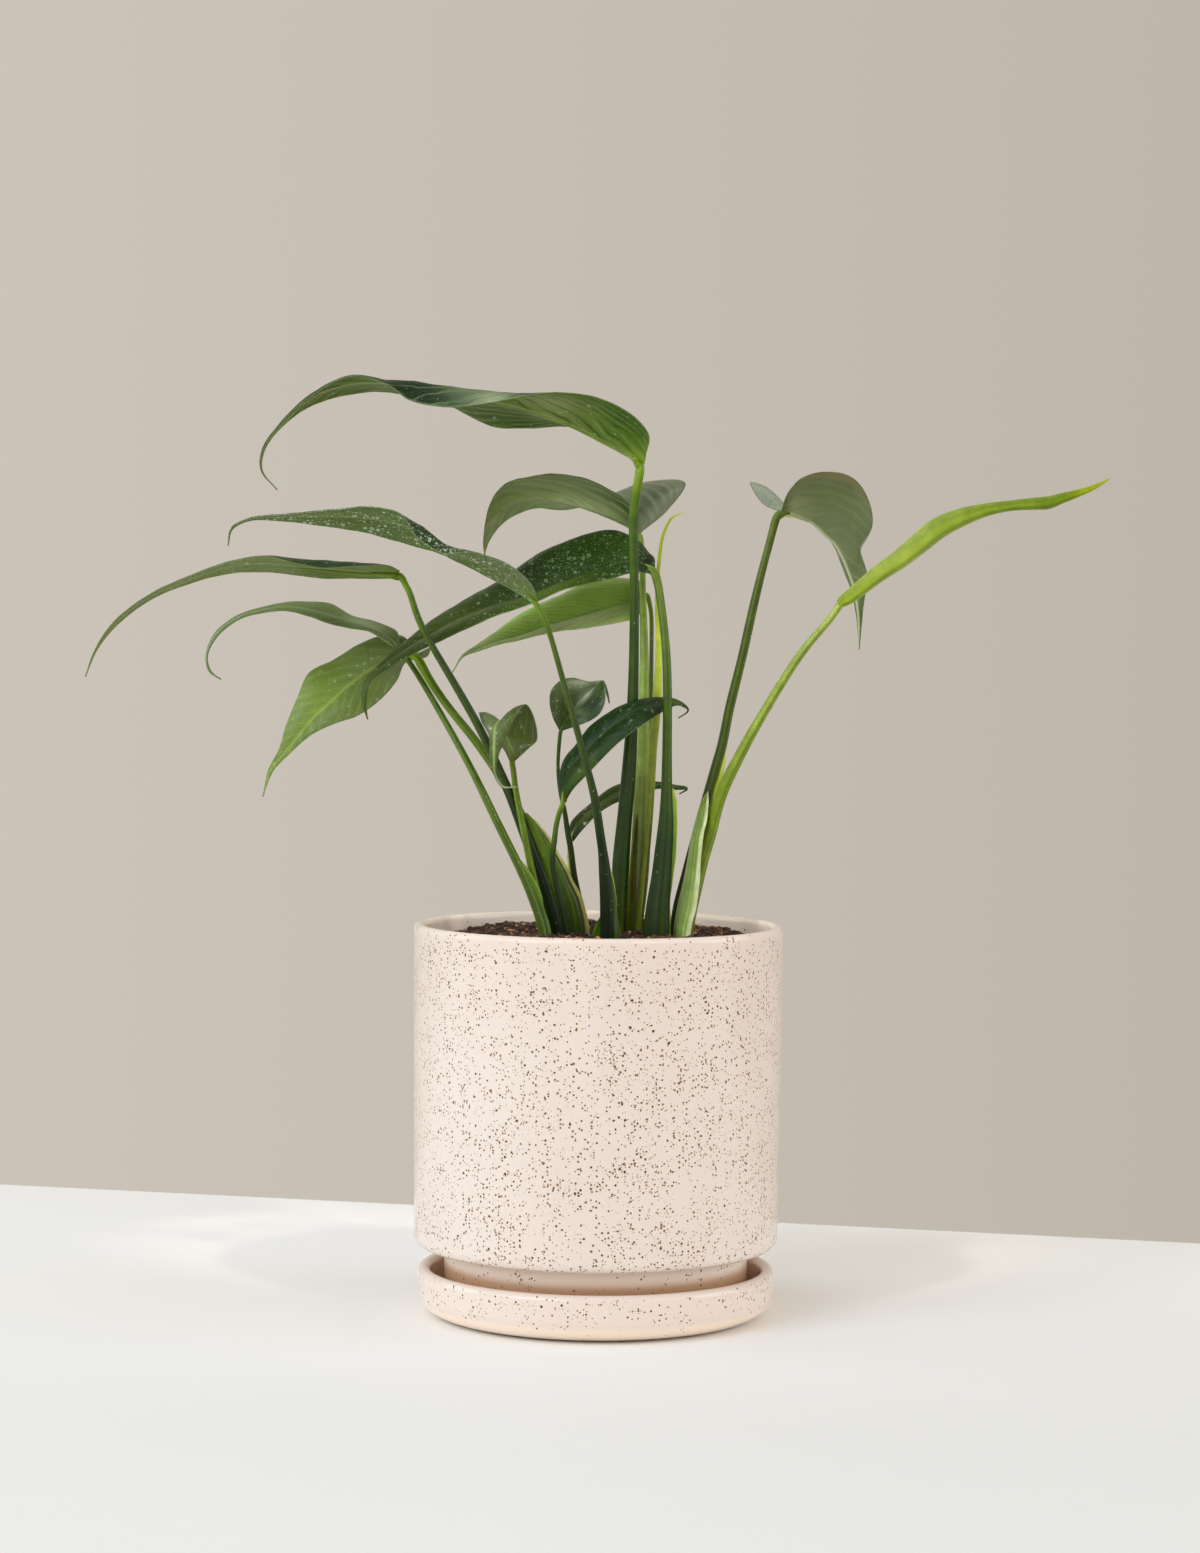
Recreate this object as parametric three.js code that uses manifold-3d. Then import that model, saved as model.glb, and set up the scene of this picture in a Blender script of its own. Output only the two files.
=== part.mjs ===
// Potted Monstera (Burle Marx Flame type) with thirteen open leaves, one rolled new leaf and one spear,
// in a straight-sided stoneware pot on a saucer.
// Millimetres, +Z up, +X to the right and +Y away from the viewer.
// The origin is the middle of the saucer's flat underside.
import * as THREE from 'three';
import { mergeVertices } from 'three/addons/utils/BufferGeometryUtils.js';
import Module from 'manifold-3d';

const manifoldLibrary = await Module();
manifoldLibrary.setup();

// Driving dimensions
const GAP = 0.3;
const HOLE_GAP = 0.35;
const ROUND_SIDES = 48;

const SAUCER_RADIUS = 82.4;
const SAUCER_HEIGHT = 22;
const SAUCER_WALL = 6.2;
const SAUCER_FLOOR = 4.3;
const SAUCER_BASE_RADIUS = 67;
const SAUCER_SIDE_START = 10.4;
const SAUCER_INNER_CORNER = 4;

const POT_RIM_RADIUS = 85;
const POT_HEIGHT = 180;
const POT_WALL = 5;
const POT_TAPER = 1;
const POT_BODY_BOTTOM = 32;
const POT_CORNER = 4.5;
const POT_FOOT_RADIUS = 70;
const POT_FOOT_WALL = 6.5;
const POT_FOOT_CORNER = 2;
const POT_FLOOR = 8;
const INNER_SLOPE = 6;
const DRAIN_RADIUS = 6;

const SOIL_LEVEL = 174.6;
const SOIL_SWELL = 0.9;
const SOIL_LUMP = 0.7;
const SOIL_SIDE_DROP = 5;
const SOIL_SIDE_GAP = 0.4;
const SOIL_EDGE_GAP = 0.6;
const SOIL_RINGS = 7;
const SOIL_SIDES = 32;

const ROWS_PER_STATION = 2;
const BLADE_THICKNESS = 0.8;
const RIB_DEPTH = 1.3;
const RIB_FADE = 1.5;
const ARCH_SHARE = 0.12;
const SMALLEST_HALF_WIDTH = 0.6;
const NARROW_SPAN = 1;
const SHARE_STEP = 0.01;
const ACROSS = [-1, -0.5, 0, 0.5, 1];
const SHEATH_THICKNESS = 0.9;
const SHEATH_BOW = 0.22;
const STALK_SIDES = 8;
const ROLL_SIDES = 14;
const ROLL_STEP = 0.16;
const ROLL_START = -1.9;
const ROLL_OPENING = 0.4;

// A blade is a list of stations from the stalk to the tip. Each station holds a point on the midrib,
// one on the left edge and one on the right edge, seen from the stalk with the upper side up,
// and where an edge rolls over, the height of that half's crest above its chord, left and right.
// A stalk is a list of rings from the soil up: x, y, z, half width and half depth.
// A sheath is a thin wing along the foot of a stalk: a point in the stalk and one on the free edge.
const shapes = {
  tall: {
    colour: 0x3d6128,
    blade: [
      [[17, -14, 390], [19, -14.5, 391], [15, -13.5, 390]],
      [[15, -13.5, 393], [19.5, -20, 395], [13.5, -8, 394]],
      [[9.5, -13, 396], [20.5, -30, 403.5], [8.5, 8, 400]],
      [[-1.5, -12, 401.5], [10.5, -34, 413.5], [-1.5, 12, 406.5]],
      [[-14, -11, 407.5], [-7, -32, 420.5], [-15.5, 12, 409]],
      [[-31, -10, 413.5], [-26.5, -30, 421.5], [-33, 10, 408], 3, 1],
      [[-49.5, -9, 418.5], [-46.5, -27, 418], [-51, 9, 408.5], 4.5, 1],
      [[-70, -8, 422], [-69.5, -25, 415], [-69.5, 8, 417], 6, 1],
      [[-86, -9, 424.5], [-87.5, -25, 418], [-84.5, 6, 421], 5.6, 1],
      [[-99.5, -11, 426.5], [-98, -27, 425], [-100.5, 3, 423.5], 1.5, 0.5],
      [[-115.5, -13, 425.5], [-113.5, -27, 428.5], [-116, 0, 422]],
      [[-132.5, -15, 419], [-130.5, -25, 420.5], [-133, -5, 416.5]],
      [[-145, -17, 407.5], [-144.5, -23, 408.5], [-145.5, -11, 407]],
      [[-154, -18, 395.5], [-154.5, -20, 395], [-153.5, -16, 395.5]],
      [[-154.5, -17, 386], [-155, -18, 386], [-154.5, -16, 386]],
      [[-148, -15, 377.5], [-148, -15, 377.5], [-148, -15, 377.5]],
    ],
    stalk: [
      [8.5, 4, 151.5, 3.7, 3],
      [9, 4, 174.5, 3.7, 3],
      [9.5, 3, 193, 3.9, 3],
      [10, 2, 209.5, 4, 3],
      [11.5, 0, 228, 3.5, 2.8],
      [13, -3, 246.5, 3.4, 2.7],
      [14.5, -6, 274, 2.7, 2.5],
      [15, -8, 301.5, 2.3, 2.3],
      [15, -10, 329, 2.1, 2.1],
      [14.5, -11, 349.5, 2.1, 2.1],
      [14, -12, 365.5, 2.1, 2.1],
      [15, -13, 376.5, 2.1, 2.1],
      [16.5, -14, 385, 2.1, 2.1],
      [17, -14, 389, 2.1, 2.1],
    ],
  },
  front: {
    colour: 0x5a7a4c,
    blade: [
      [[-29, -52, 327], [-28.5, -53, 327.5], [-30, -51, 326.5]],
      [[-36.5, -55, 335], [-31.5, -65, 335.5], [-39, -43, 332]],
      [[-46, -58, 341], [-41, -72, 343], [-49.5, -43, 337.5]],
      [[-59.5, -60, 346], [-57, -74, 348.5], [-62.5, -45, 344], 1.5, 1],
      [[-71.5, -61, 351], [-70, -73, 348], [-74, -46, 349], 3, 1],
      [[-80.5, -61, 357.5], [-81.5, -72, 355], [-85, -47, 352], 4, 1],
      [[-90, -62, 361], [-88.5, -74, 365], [-94, -47, 354.5], 1.5, 1],
      [[-102.5, -62, 363], [-101, -75, 368], [-105.5, -48, 357.5]],
      [[-120.5, -62, 364], [-118.5, -72, 366.5], [-123, -51, 360]],
      [[-140.5, -60, 363.5], [-139.5, -66, 364.5], [-141.5, -54, 362]],
      [[-156, -58, 362.5], [-155.5, -61, 363], [-156.5, -55, 362]],
      [[-164, -56, 358.5], [-164.5, -57.5, 358.5], [-164, -55, 358]],
      [[-166, -55, 351], [-166, -55, 351], [-166, -55, 351]],
    ],
    stalk: [
      [3.5, -20, 153.5, 3.4, 2.7],
      [4, -20, 176.5, 3.3, 2.7],
      [3.5, -21, 192.5, 3, 2.5],
      [2.5, -23, 206.5, 2.7, 2.3],
      [1.5, -25, 215.5, 2.1, 2.1],
      [0, -28, 224.5, 2, 2],
      [-2, -32, 238.5, 1.9, 1.9],
      [-5.5, -37, 252, 1.6, 1.6],
      [-10.5, -42, 270.5, 1.5, 1.5],
      [-17, -46, 292.5, 1.3, 1.3],
      [-22, -49, 310.5, 1.2, 1.2],
      [-25.5, -51, 320, 1.3, 1.3],
      [-29, -52, 326, 1.2, 1.2],
    ],
    sheaths: [
      [
        [[2.5, -23, 208], [4.5, -23, 208]],
        [[3.5, -22, 201.5], [6.5, -20, 201.5]],
        [[4, -21, 196], [7.5, -18, 197]],
        [[4.5, -20, 185.5], [8.5, -14, 185]],
        [[5, -20, 176.5], [9.5, -12, 176]],
        [[4.5, -20, 153.5], [9.5, -12, 153]],
      ],
      [
        [[2.5, -20, 186.5], [1.5, -20, 186]],
        [[2.5, -20, 181], [-1, -19, 181]],
        [[2.5, -20, 176.5], [-3, -18, 176]],
        [[2.5, -20, 153.5], [-3.5, -18, 153.5]],
      ],
    ],
  },
  long: {
    colour: 0x4c6b38,
    blade: [
      [[-92, -30, 339], [-91, -32, 341], [-92.5, -28.5, 337.5]],
      [[-99, -31, 339.5], [-96, -41, 343], [-100.5, -21, 337.5]],
      [[-112.5, -32, 340], [-110, -44, 342.5], [-114.5, -19, 337.5], 3, 1],
      [[-125, -32, 341], [-124, -43, 341.5], [-128, -19, 337.5], 4, 1],
      [[-138, -32, 342], [-136.5, -44, 343.5], [-140.5, -20, 339], 3, 1],
      [[-151.5, -32, 343.5], [-149.5, -44, 346.5], [-154, -21, 340]],
      [[-167.5, -32, 342], [-165.5, -42, 344], [-169.5, -22, 339]],
      [[-185.5, -32, 336], [-184.5, -39, 337.5], [-186, -25, 334.5]],
      [[-203.5, -31, 328], [-203.5, -35, 329], [-203.5, -27, 327]],
      [[-219.5, -30, 316], [-220, -32, 316.5], [-219, -28, 315]],
      [[-228, -29, 303.5], [-228.5, -30, 304], [-228, -28, 303.5]],
      [[-233, -28, 292], [-233, -28, 292], [-233, -28, 292]],
    ],
    stalk: [
      [-17, -4, 152, 3.7, 2.5],
      [-19, -4, 175, 3.7, 2.5],
      [-24, -5, 194.5, 3.2, 2.3],
      [-30.5, -7, 212, 2.8, 2.2],
      [-35.5, -9, 225.5, 2.6, 2.1],
      [-40.5, -12, 238.5, 2.3, 2.1],
      [-45, -14, 248.5, 2.1, 1.9],
      [-52.5, -18, 265.5, 1.9, 1.9],
      [-61.5, -22, 282, 1.8, 1.8],
      [-72.5, -25, 300.5, 1.6, 1.6],
      [-79.5, -27, 312.5, 1.5, 1.5],
      [-84, -29, 322.5, 1.5, 1.5],
      [-86.5, -30, 331.5, 1.4, 1.4],
      [-88.5, -30, 334.5, 1.4, 1.4],
      [-89.5, -30, 337, 1.5, 1.5],
      [-91, -30, 338.5, 1.7, 1.7],
    ],
    sheaths: [
      [
        [[-35.5, -10, 231.5], [-33, -9, 231]],
        [[-32, -8, 221], [-24.5, -6, 222]],
        [[-27.5, -7, 210.5], [-17.5, -4, 211]],
        [[-23, -6, 199], [-11.5, -2, 199]],
        [[-19.5, -5, 189], [-6.5, -1, 188.5]],
        [[-17.5, -4, 175], [-4, -1, 175]],
        [[-16, -4, 152], [-2.5, -1, 151.5]],
      ],
    ],
  },
  curled: {
    colour: 0x48703c,
    blade: [
      [[-93.5, 10, 306.5], [-93.5, 9, 305.5], [-93.5, 11, 307.5]],
      [[-98.5, 10, 309.5], [-97.5, 0, 309.5], [-95.5, 20, 314]],
      [[-106, 9, 314], [-105.5, -4, 313.5], [-105.5, 22, 318]],
      [[-116, 8, 317.5], [-116, -6, 315], [-116, 22, 320]],
      [[-124.5, 6, 320], [-124.5, -7, 317], [-125.5, 19, 326]],
      [[-134, 4, 322.5], [-133.5, -7, 320], [-135.5, 16, 327]],
      [[-144, 2, 324], [-143.5, -6, 322.5], [-145, 11, 326.5]],
      [[-156, 0, 322.5], [-155.5, -4, 321.5], [-156.5, 6, 324]],
      [[-167, -1, 319], [-166, -3, 318.5], [-168, 3, 320]],
      [[-177, -2, 311], [-176, -3, 310.5], [-178, 0, 311.5]],
      [[-181, -2, 301.5], [-180.5, -2.5, 301.5], [-181.5, -1, 301.5]],
      [[-179.5, -2, 294.5], [-179, -2.5, 295], [-180, -1.5, 294.5]],
      [[-174.5, -2, 291], [-174.5, -2, 291], [-174.5, -2, 291]],
    ],
    stalk: [
      [-23, -24, 153.5, 2, 2],
      [-24.5, -24, 176.5, 2, 2],
      [-29, -22, 190, 2, 2],
      [-35, -19, 204.5, 2, 2],
      [-45.5, -15, 224.5, 1.9, 1.9],
      [-52.5, -11, 238.5, 1.8, 1.8],
      [-60, -7, 253, 1.6, 1.6],
      [-72, 0, 273.5, 1.5, 1.5],
      [-85.5, 7, 295.5, 1.3, 1.3],
      [-91.5, 9, 303.5, 1.2, 1.2],
      [-92.5, 10, 305, 1.2, 1.2],
    ],
    sheaths: [
      [
        [[-38.5, -18, 212], [-36.5, -18, 211]],
        [[-33.5, -20, 202], [-30, -20, 202.5]],
        [[-28.5, -22, 192], [-26, -21, 194]],
        [[-26, -23, 185.5], [-24, -22, 186]],
        [[-24, -24, 176.5], [-21.5, -23, 176.5]],
        [[-22.5, -24, 153.5], [-20, -23, 153.5]],
      ],
    ],
  },
  drooping: {
    colour: 0x628c3a,
    blade: [
      [[-87.5, 20, 303.5], [-86.5, 20, 302.5], [-88.5, 20, 304]],
      [[-90, 21, 303], [-80, 26, 306], [-89.5, 24, 308]],
      [[-93.5, 20.5, 302], [-81, 27, 302.5], [-92.5, 26, 311.5]],
      [[-100.5, 18, 298.5], [-91, 18, 299], [-100.5, 25, 312]],
      [[-108.5, 15, 294.5], [-94.5, 13, 291], [-113, 21, 307.5]],
      [[-117, 12, 288], [-102, 9, 282], [-124.5, 17, 300]],
      [[-125, 9, 280.5], [-112.5, 6, 274.5], [-135, 13, 294.5]],
      [[-133, 7, 273], [-122.5, 5, 271], [-140, 10, 283.5]],
      [[-139.5, 5, 264.5], [-133.5, 4, 265.5], [-145, 8, 270.5]],
      [[-145.5, 4, 256.5], [-143, 3, 257], [-148.5, 6, 258.5]],
      [[-152, 4, 249], [-150.5, 3.5, 249], [-153, 4.5, 249.5]],
      [[-155.5, 4, 237], [-155.5, 4, 237], [-155.5, 4, 237]],
    ],
    stalk: [
      [-19.5, 9, 150.5, 2.8, 2.3],
      [-22, 9, 174, 2.5, 2.2],
      [-24, 10, 193.5, 2.3, 2.1],
      [-29, 11, 210.5, 2.2, 2.2],
      [-34.5, 12, 225, 2.1, 2.1],
      [-40.5, 13, 237.5, 2.1, 2.1],
      [-50.5, 15, 253, 2, 2],
      [-60, 16, 266, 2, 2],
      [-67, 17, 274, 1.9, 1.9],
      [-75.5, 18, 285, 1.9, 1.9],
      [-81, 19, 293.5, 2, 2],
      [-83.5, 20, 298, 2.2, 2.2],
      [-85.5, 20, 301.5, 2, 2],
    ],
  },
  dark: {
    colour: 0x2a451c,
    blade: [
      [[23.5, 4.5, 343], [22.5, 4, 341.5], [24.5, 6, 344.5]],
      [[21, 6, 344.5], [20.5, 1.5, 341.5], [24, 14, 349]],
      [[17.5, 7.5, 346], [17.5, -2, 341.5], [21.5, 18, 351.5]],
      [[10.5, 9, 346], [12, -6, 341], [17, 22, 357]],
      [[-1, 8, 342.5], [0.5, -12, 337.5], [3.5, 28, 362]],
      [[-16.5, 5, 336.5], [-16.5, -16, 333.5], [-14, 26, 357.5]],
      [[-32.5, 2, 330], [-32.5, -17, 326.5], [-30.5, 23, 350]],
      [[-48, -1, 326], [-47, -18, 321.5], [-46.5, 18, 338.5]],
      [[-63.5, -4, 320], [-62.5, -19, 314.5], [-62.5, 13, 329]],
      [[-78, -7, 312], [-76, -20, 308], [-78, 7, 319]],
      [[-89.5, -10, 305], [-87, -20, 302.5], [-90.5, 0, 308.5]],
      [[-99, -13, 297.5], [-96.5, -20, 296.5], [-100.5, -7, 299.5]],
      [[-106, -15, 290.5], [-104.5, -18, 290.5], [-108, -12, 290.5]],
      [[-108, -16, 281.5], [-106.5, -18, 282], [-109, -14.5, 281.5]],
      [[-106, -16, 273.5], [-106, -16, 273.5], [-106, -16, 273.5]],
    ],
    stalk: [
      [26.5, -8, 152.5, 5.7, 3.7],
      [26.5, -8, 175.5, 6.2, 3.7],
      [27, -8, 189.5, 5.3, 3.4],
      [28.5, -8, 201, 4.6, 3.2],
      [29.5, -9, 215, 4.1, 2.9],
      [30.5, -10, 228.5, 3.4, 2.7],
      [30.5, -11, 240, 2.6, 2.6],
      [30.5, -12, 260.5, 2.2, 2.2],
      [30.5, -12, 283.5, 2.1, 2.1],
      [30, -10, 302, 2, 2],
      [28.5, -6, 318, 1.9, 1.9],
      [27, -2, 329, 1.9, 1.9],
      [26, 1.5, 336, 1.9, 1.9],
      [25, 3.5, 339.5, 2, 2],
      [24.5, 4.5, 341.5, 2, 2],
    ],
    sheaths: [
      [
        [[30.5, -11, 244], [33.5, -9, 243]],
        [[31, -10, 238], [35, -7, 236.5]],
        [[31.5, -10, 228.5], [35.5, -6, 229.5]],
        [[31.5, -9, 219.5], [35.5, -5, 218.5]],
        [[31, -9, 208], [34.5, -5, 207.5]],
        [[30, -8, 194], [33, -5, 194]],
        [[28, -8, 175.5], [33, -5, 175.5]],
        [[28.5, -8, 152.5], [33, -5, 152.5]],
      ],
    ],
  },
  bright: {
    colour: 0x587c2b,
    blade: [
      [[20.5, 34, 333], [20.5, 33, 331.5], [20.5, 35, 334]],
      [[16, 33, 329.5], [16.5, 22, 321.5], [18, 44, 338.5]],
      [[6.5, 32, 326.5], [6.5, 17, 318.5], [7, 48, 340]],
      [[-7.5, 30, 322], [-7.5, 13, 316], [-6.5, 46, 337.5]],
      [[-22.5, 27, 317], [-22.5, 11, 314], [-22, 42, 330.5]],
      [[-36.5, 24, 311.5], [-36.5, 11, 310.5], [-36.5, 37, 323.5]],
      [[-48, 21, 308.5], [-47.5, 12, 308], [-49.5, 29, 314]],
      [[-57.5, 19, 305.5], [-56.5, 15, 305], [-58.5, 23, 307.5]],
      [[-64, 18, 302.5], [-64, 17, 302], [-64.5, 19, 303]],
      [[-69, 18, 295], [-69, 18, 295], [-69, 18, 295]],
    ],
    stalk: [
      [17.5, 20, 150, 1.7, 1.7],
      [18.5, 20, 173, 1.7, 1.7],
      [20.5, 21, 213, 1.5, 1.5],
      [22.5, 23, 245.5, 1.3, 1.3],
      [23.5, 27, 283, 1.1, 1.1],
      [23.5, 30, 306, 1, 1],
      [23.5, 33, 322.5, 1, 1],
      [22.5, 34, 328, 1.1, 1.1],
      [21.5, 34, 331.5, 1.2, 1.2],
    ],
  },
  rear: {
    colour: 0x56703f,
    blade: [
      [[17.5, 30, 360.5], [17, 29, 361], [18, 31, 361]],
      [[14.5, 30, 362.5], [14.5, 22, 370], [30.5, 44, 372]],
      [[9.5, 31, 365], [10.5, 15, 375.5], [39, 54, 385.5]],
      [[2.5, 32, 368], [1.5, 10, 381], [22.5, 60, 386]],
      [[-6, 33, 371], [-8.5, 8, 385], [2.5, 58, 377.5]],
      [[-17.5, 34, 374.5], [-21.5, 9, 387], [-17, 52, 372]],
      [[-31.5, 34, 376], [-35, 12, 385.5], [-31.5, 50, 372.5]],
      [[-43.5, 33, 373.5], [-46, 18, 382], [-42, 43, 368.5]],
      [[-50, 32, 365.5], [-52.5, 25, 373], [-48.5, 37, 363]],
      [[-54, 31, 356.5], [-55.5, 29, 357], [-53, 33, 356]],
      [[-55, 31, 349.5], [-55, 31, 349.5], [-55, 31, 349.5]],
    ],
    stalk: [
      [15, 12, 150.5, 3.2, 2.3],
      [16, 12, 174, 4, 2.3],
      [17.5, 12, 192.5, 4.7, 2.3],
      [19, 12, 209, 4.6, 2.3],
      [19.5, 12, 227.5, 4.2, 2.3],
      [20, 12, 246, 3.6, 2.3],
      [20, 13, 264.5, 3.1, 2.3],
      [20, 15, 287.5, 2.4, 2.1],
      [20, 19, 311, 1.9, 1.8],
      [19, 25, 334, 1.5, 1.5],
      [19, 28, 348, 1.3, 1.3],
      [18, 30, 359, 1.2, 1.2],
    ],
  },
  right: {
    colour: 0x5a6c46,
    blade: [
      [[82, 18, 370.5], [81.5, 19, 371], [83, 17, 371]],
      [[83.5, 18, 370.5], [74.5, 26, 375], [83.5, 14, 373]],
      [[84.5, 18, 370.5], [69, 32, 384.5], [84, 10, 376]],
      [[86, 18, 370], [69.5, 32.5, 385], [85, 8, 378.5]],
      [[88, 18, 369.5], [82, 35, 375], [87, 4, 381.5]],
      [[90.5, 18, 368.5], [89.5, 37, 373.5], [91, 0, 385.5]],
      [[97, 18, 365.5], [98, 38, 367], [102.5, -5, 388.5]],
      [[102.5, 17, 360.5], [104, 34, 361.5], [114, -5, 386]],
      [[107.5, 16, 355.5], [108.5, 30, 355], [122, -2, 375.5]],
      [[111, 15, 349.5], [111, 26, 348.5], [124, 2, 363.5]],
      [[114, 14, 342.5], [113.5, 22, 341.5], [119, 7, 354.5]],
      [[116.5, 13, 335], [116, 18, 334], [122.5, 8, 341.5]],
      [[118.5, 12, 323.5], [118, 14, 323], [121, 9.5, 328]],
      [[119.5, 12, 307.5], [119.5, 12, 307.5], [119.5, 12, 307.5]],
    ],
    stalk: [
      [36, 7, 151, 2.3, 2.1],
      [35, 7, 174.5, 2.5, 2.1],
      [37, 7, 188.5, 2.7, 2.1],
      [40, 7, 199, 2.8, 2.2],
      [43, 7, 211.5, 2.8, 2.3],
      [46, 8, 222.5, 2.8, 2.3],
      [48.5, 8, 232.5, 2.7, 2.3],
      [51.5, 9, 244, 2.6, 2.3],
      [54, 9, 253.5, 2.5, 2.3],
      [56.5, 10, 262.5, 2.3, 2.2],
      [58.5, 10, 274, 2.2, 2.2],
      [60.5, 11, 283.5, 2.2, 2.2],
      [64.5, 12, 299.5, 2.1, 2.1],
      [67, 13, 311, 2.1, 2.1],
      [71, 14, 330, 2, 2],
      [75.5, 16, 348.5, 1.8, 1.8],
      [78, 17, 357.5, 1.8, 1.8],
      [80, 18, 366, 1.9, 1.9],
      [81, 18, 368.5, 1.9, 1.9],
    ],
    sheaths: [
      [
        [[58, 10.5, 274], [59.5, 10.5, 273.5]],
        [[55.5, 10, 262.5], [58.5, 9.5, 263.5]],
        [[52.5, 9.5, 251], [57.5, 9, 251]],
        [[50, 9, 239.5], [56, 8.5, 241]],
        [[48, 9, 230], [53.5, 8.5, 230]],
        [[45, 8.5, 218.5], [50, 8, 218.5]],
        [[42, 8, 205.5], [45.5, 8, 205.5]],
      ],
      [
        [[51.5, 8, 242], [50, 5, 241]],
        [[48.5, 7, 237], [50, -3, 236]],
        [[46.5, 7, 228], [49, -8, 228]],
        [[44.5, 7, 219.5], [47.5, -9, 220.5]],
        [[42.5, 6, 209.5], [46.5, -9.5, 210.5]],
        [[39.5, 6, 197.5], [46, -9.5, 199.5]],
        [[37, 6, 188], [45, -9.5, 189.5]],
        [[35.5, 6, 174.5], [42, -9.5, 176]],
        [[35.5, 6, 151.5], [42, -9.5, 153]],
      ],
    ],
  },
  new: {
    colour: 0x9fb53c,
    rolled: [
      [107.5, -27, 327.5, 1.9, 1.9],
      [109, -27, 329, 2.8, 2.8],
      [112, -28, 331, 3.4, 3.4],
      [117.5, -29, 335.5, 3.7, 3.7],
      [125.5, -30, 342, 4.2, 4.2],
      [134, -31, 348, 4.7, 4.7],
      [143, -32, 355.5, 5.2, 5.2],
      [151, -33, 362, 5.4, 5.4],
      [160, -33.5, 366.5, 4.7, 4.7],
      [172, -34, 370.5, 3.2, 3.2],
      [183, -34.5, 372.5, 2.5, 2.5],
      [194, -35, 373.5, 3, 3],
      [200, -35, 374, 3.2, 3.2],
      [206, -35.5, 376, 2.6, 2.6],
      [216.5, -36, 379.5, 1.6, 1.6],
      [223, -36, 382.5, 1, 1],
      [228, -36, 385.5, 0.2, 0.2],
    ],
    stalk: [
      [40.5, -2, 152, 2.8, 2.8],
      [40.5, -2, 175.5, 2.8, 2.8],
      [43, -2, 189, 2.8, 2.8],
      [45.5, -2, 200.5, 2.8, 2.8],
      [48, -2, 212, 2.8, 2.8],
      [51, -2, 221.5, 2.8, 2.8],
      [53, -3, 231, 2.8, 2.8],
      [55.5, -4, 240, 2.8, 2.8],
      [59.5, -6, 249.5, 2.7, 2.7],
      [63.5, -8, 257.5, 2.5, 2.5],
      [67, -12, 265, 2.4, 2.4],
      [72, -14, 274, 2.2, 2.2],
      [77.5, -17, 284, 2.1, 2.1],
      [89.5, -22, 304, 1.9, 1.9],
      [96.5, -24, 313, 1.8, 1.8],
      [103, -26, 320.5, 1.7, 1.7],
      [107, -27, 326.5, 1.8, 1.8],
    ],
  },
  cupped: {
    colour: 0x4a6a3c,
    blade: [
      [[-40, -15, 255], [-38.5, -15, 255.5], [-41.5, -15, 255.5]],
      [[-41.5, -13, 261.5], [-32, -9, 261.5], [-44.5, -8, 260.5]],
      [[-43.5, -13, 266], [-29, -8, 264.5], [-49.5, -4, 265]],
      [[-44.5, -15, 270.5], [-30.5, -13, 275.5], [-53, -5, 271]],
      [[-45.5, -19, 273], [-34, -19, 281], [-55.5, -12, 277]],
      [[-47.5, -24, 270], [-38, -25, 276.5], [-54, -20, 273]],
      [[-48, -26, 264], [-42, -27, 268], [-50.5, -24, 267]],
      [[-48, -26.5, 257.5], [-46, -27, 257.5], [-50, -26, 257]],
      [[-47.5, -26, 250.5], [-47, -26.5, 251], [-48.5, -25.5, 250]],
      [[-44.5, -25, 244], [-44, -25, 244.5], [-44.5, -25, 243.5]],
      [[-38, -22, 243.5], [-38, -22, 243.5], [-38, -22, 243.5]],
    ],
    stalk: [
      [-23.5, -15, 153, 1.8, 1.8],
      [-24, -15, 175.5, 1.8, 1.8],
      [-27.5, -15, 191.5, 1.8, 1.8],
      [-31, -15, 206.5, 1.7, 1.7],
      [-33.5, -15, 218, 1.6, 1.6],
      [-36, -15, 230.5, 1.5, 1.5],
      [-38, -15, 239.5, 1.4, 1.4],
      [-39, -15, 246.5, 1.3, 1.3],
      [-39.5, -15, 251, 1.3, 1.3],
      [-40, -15, 253.5, 1.3, 1.3],
    ],
  },
  round: {
    colour: 0x2c4723,
    blade: [
      [[-18, 2, 269], [-19, 2, 269], [-17, 2, 269]],
      [[-16.5, 3, 272.5], [-22, 0, 275], [-11, -2, 271]],
      [[-13.5, 5, 277], [-23.5, -1, 281.5], [-4, -5, 274]],
      [[-10.5, 6, 281], [-23, 0, 287], [0, -7, 277.5]],
      [[-7.5, 6, 284.5], [-19, 2, 291.5], [2, -7, 282.5]],
      [[-4, 6, 287.5], [-13, 5, 293], [2, -5, 288]],
      [[-1, 6, 290.5], [-5.5, 7, 291], [1.5, -1, 291.5]],
      [[1.5, 7, 290.5], [0.5, 8, 291.5], [2, 5, 290]],
      [[3, 8.5, 285.5], [2.5, 9, 285.5], [3.5, 8, 285.5]],
      [[4, 9, 281.5], [4, 9, 281.5], [4, 9, 281.5]],
    ],
    stalk: [
      [-3, 9, 150.5, 1.6, 1.6],
      [-5, 9, 174, 1.6, 1.6],
      [-7.5, 9, 183, 1.6, 1.6],
      [-9.5, 9, 192.5, 1.5, 1.5],
      [-11.5, 8, 200.5, 1.5, 1.5],
      [-12.5, 7, 209, 1.4, 1.4],
      [-13.5, 6, 216, 1.4, 1.4],
      [-15, 5, 223, 1.3, 1.3],
      [-16, 4, 231, 1.1, 1.1],
      [-18, 3, 239, 1, 1],
      [-19, 2.5, 246, 0.9, 0.9],
      [-19.5, 2, 253, 0.8, 0.8],
      [-19, 2, 262, 0.9, 0.9],
      [-18.5, 2, 268, 0.9, 0.9],
    ],
  },
  middle: {
    colour: 0x2c4a28,
    blade: [
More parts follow.
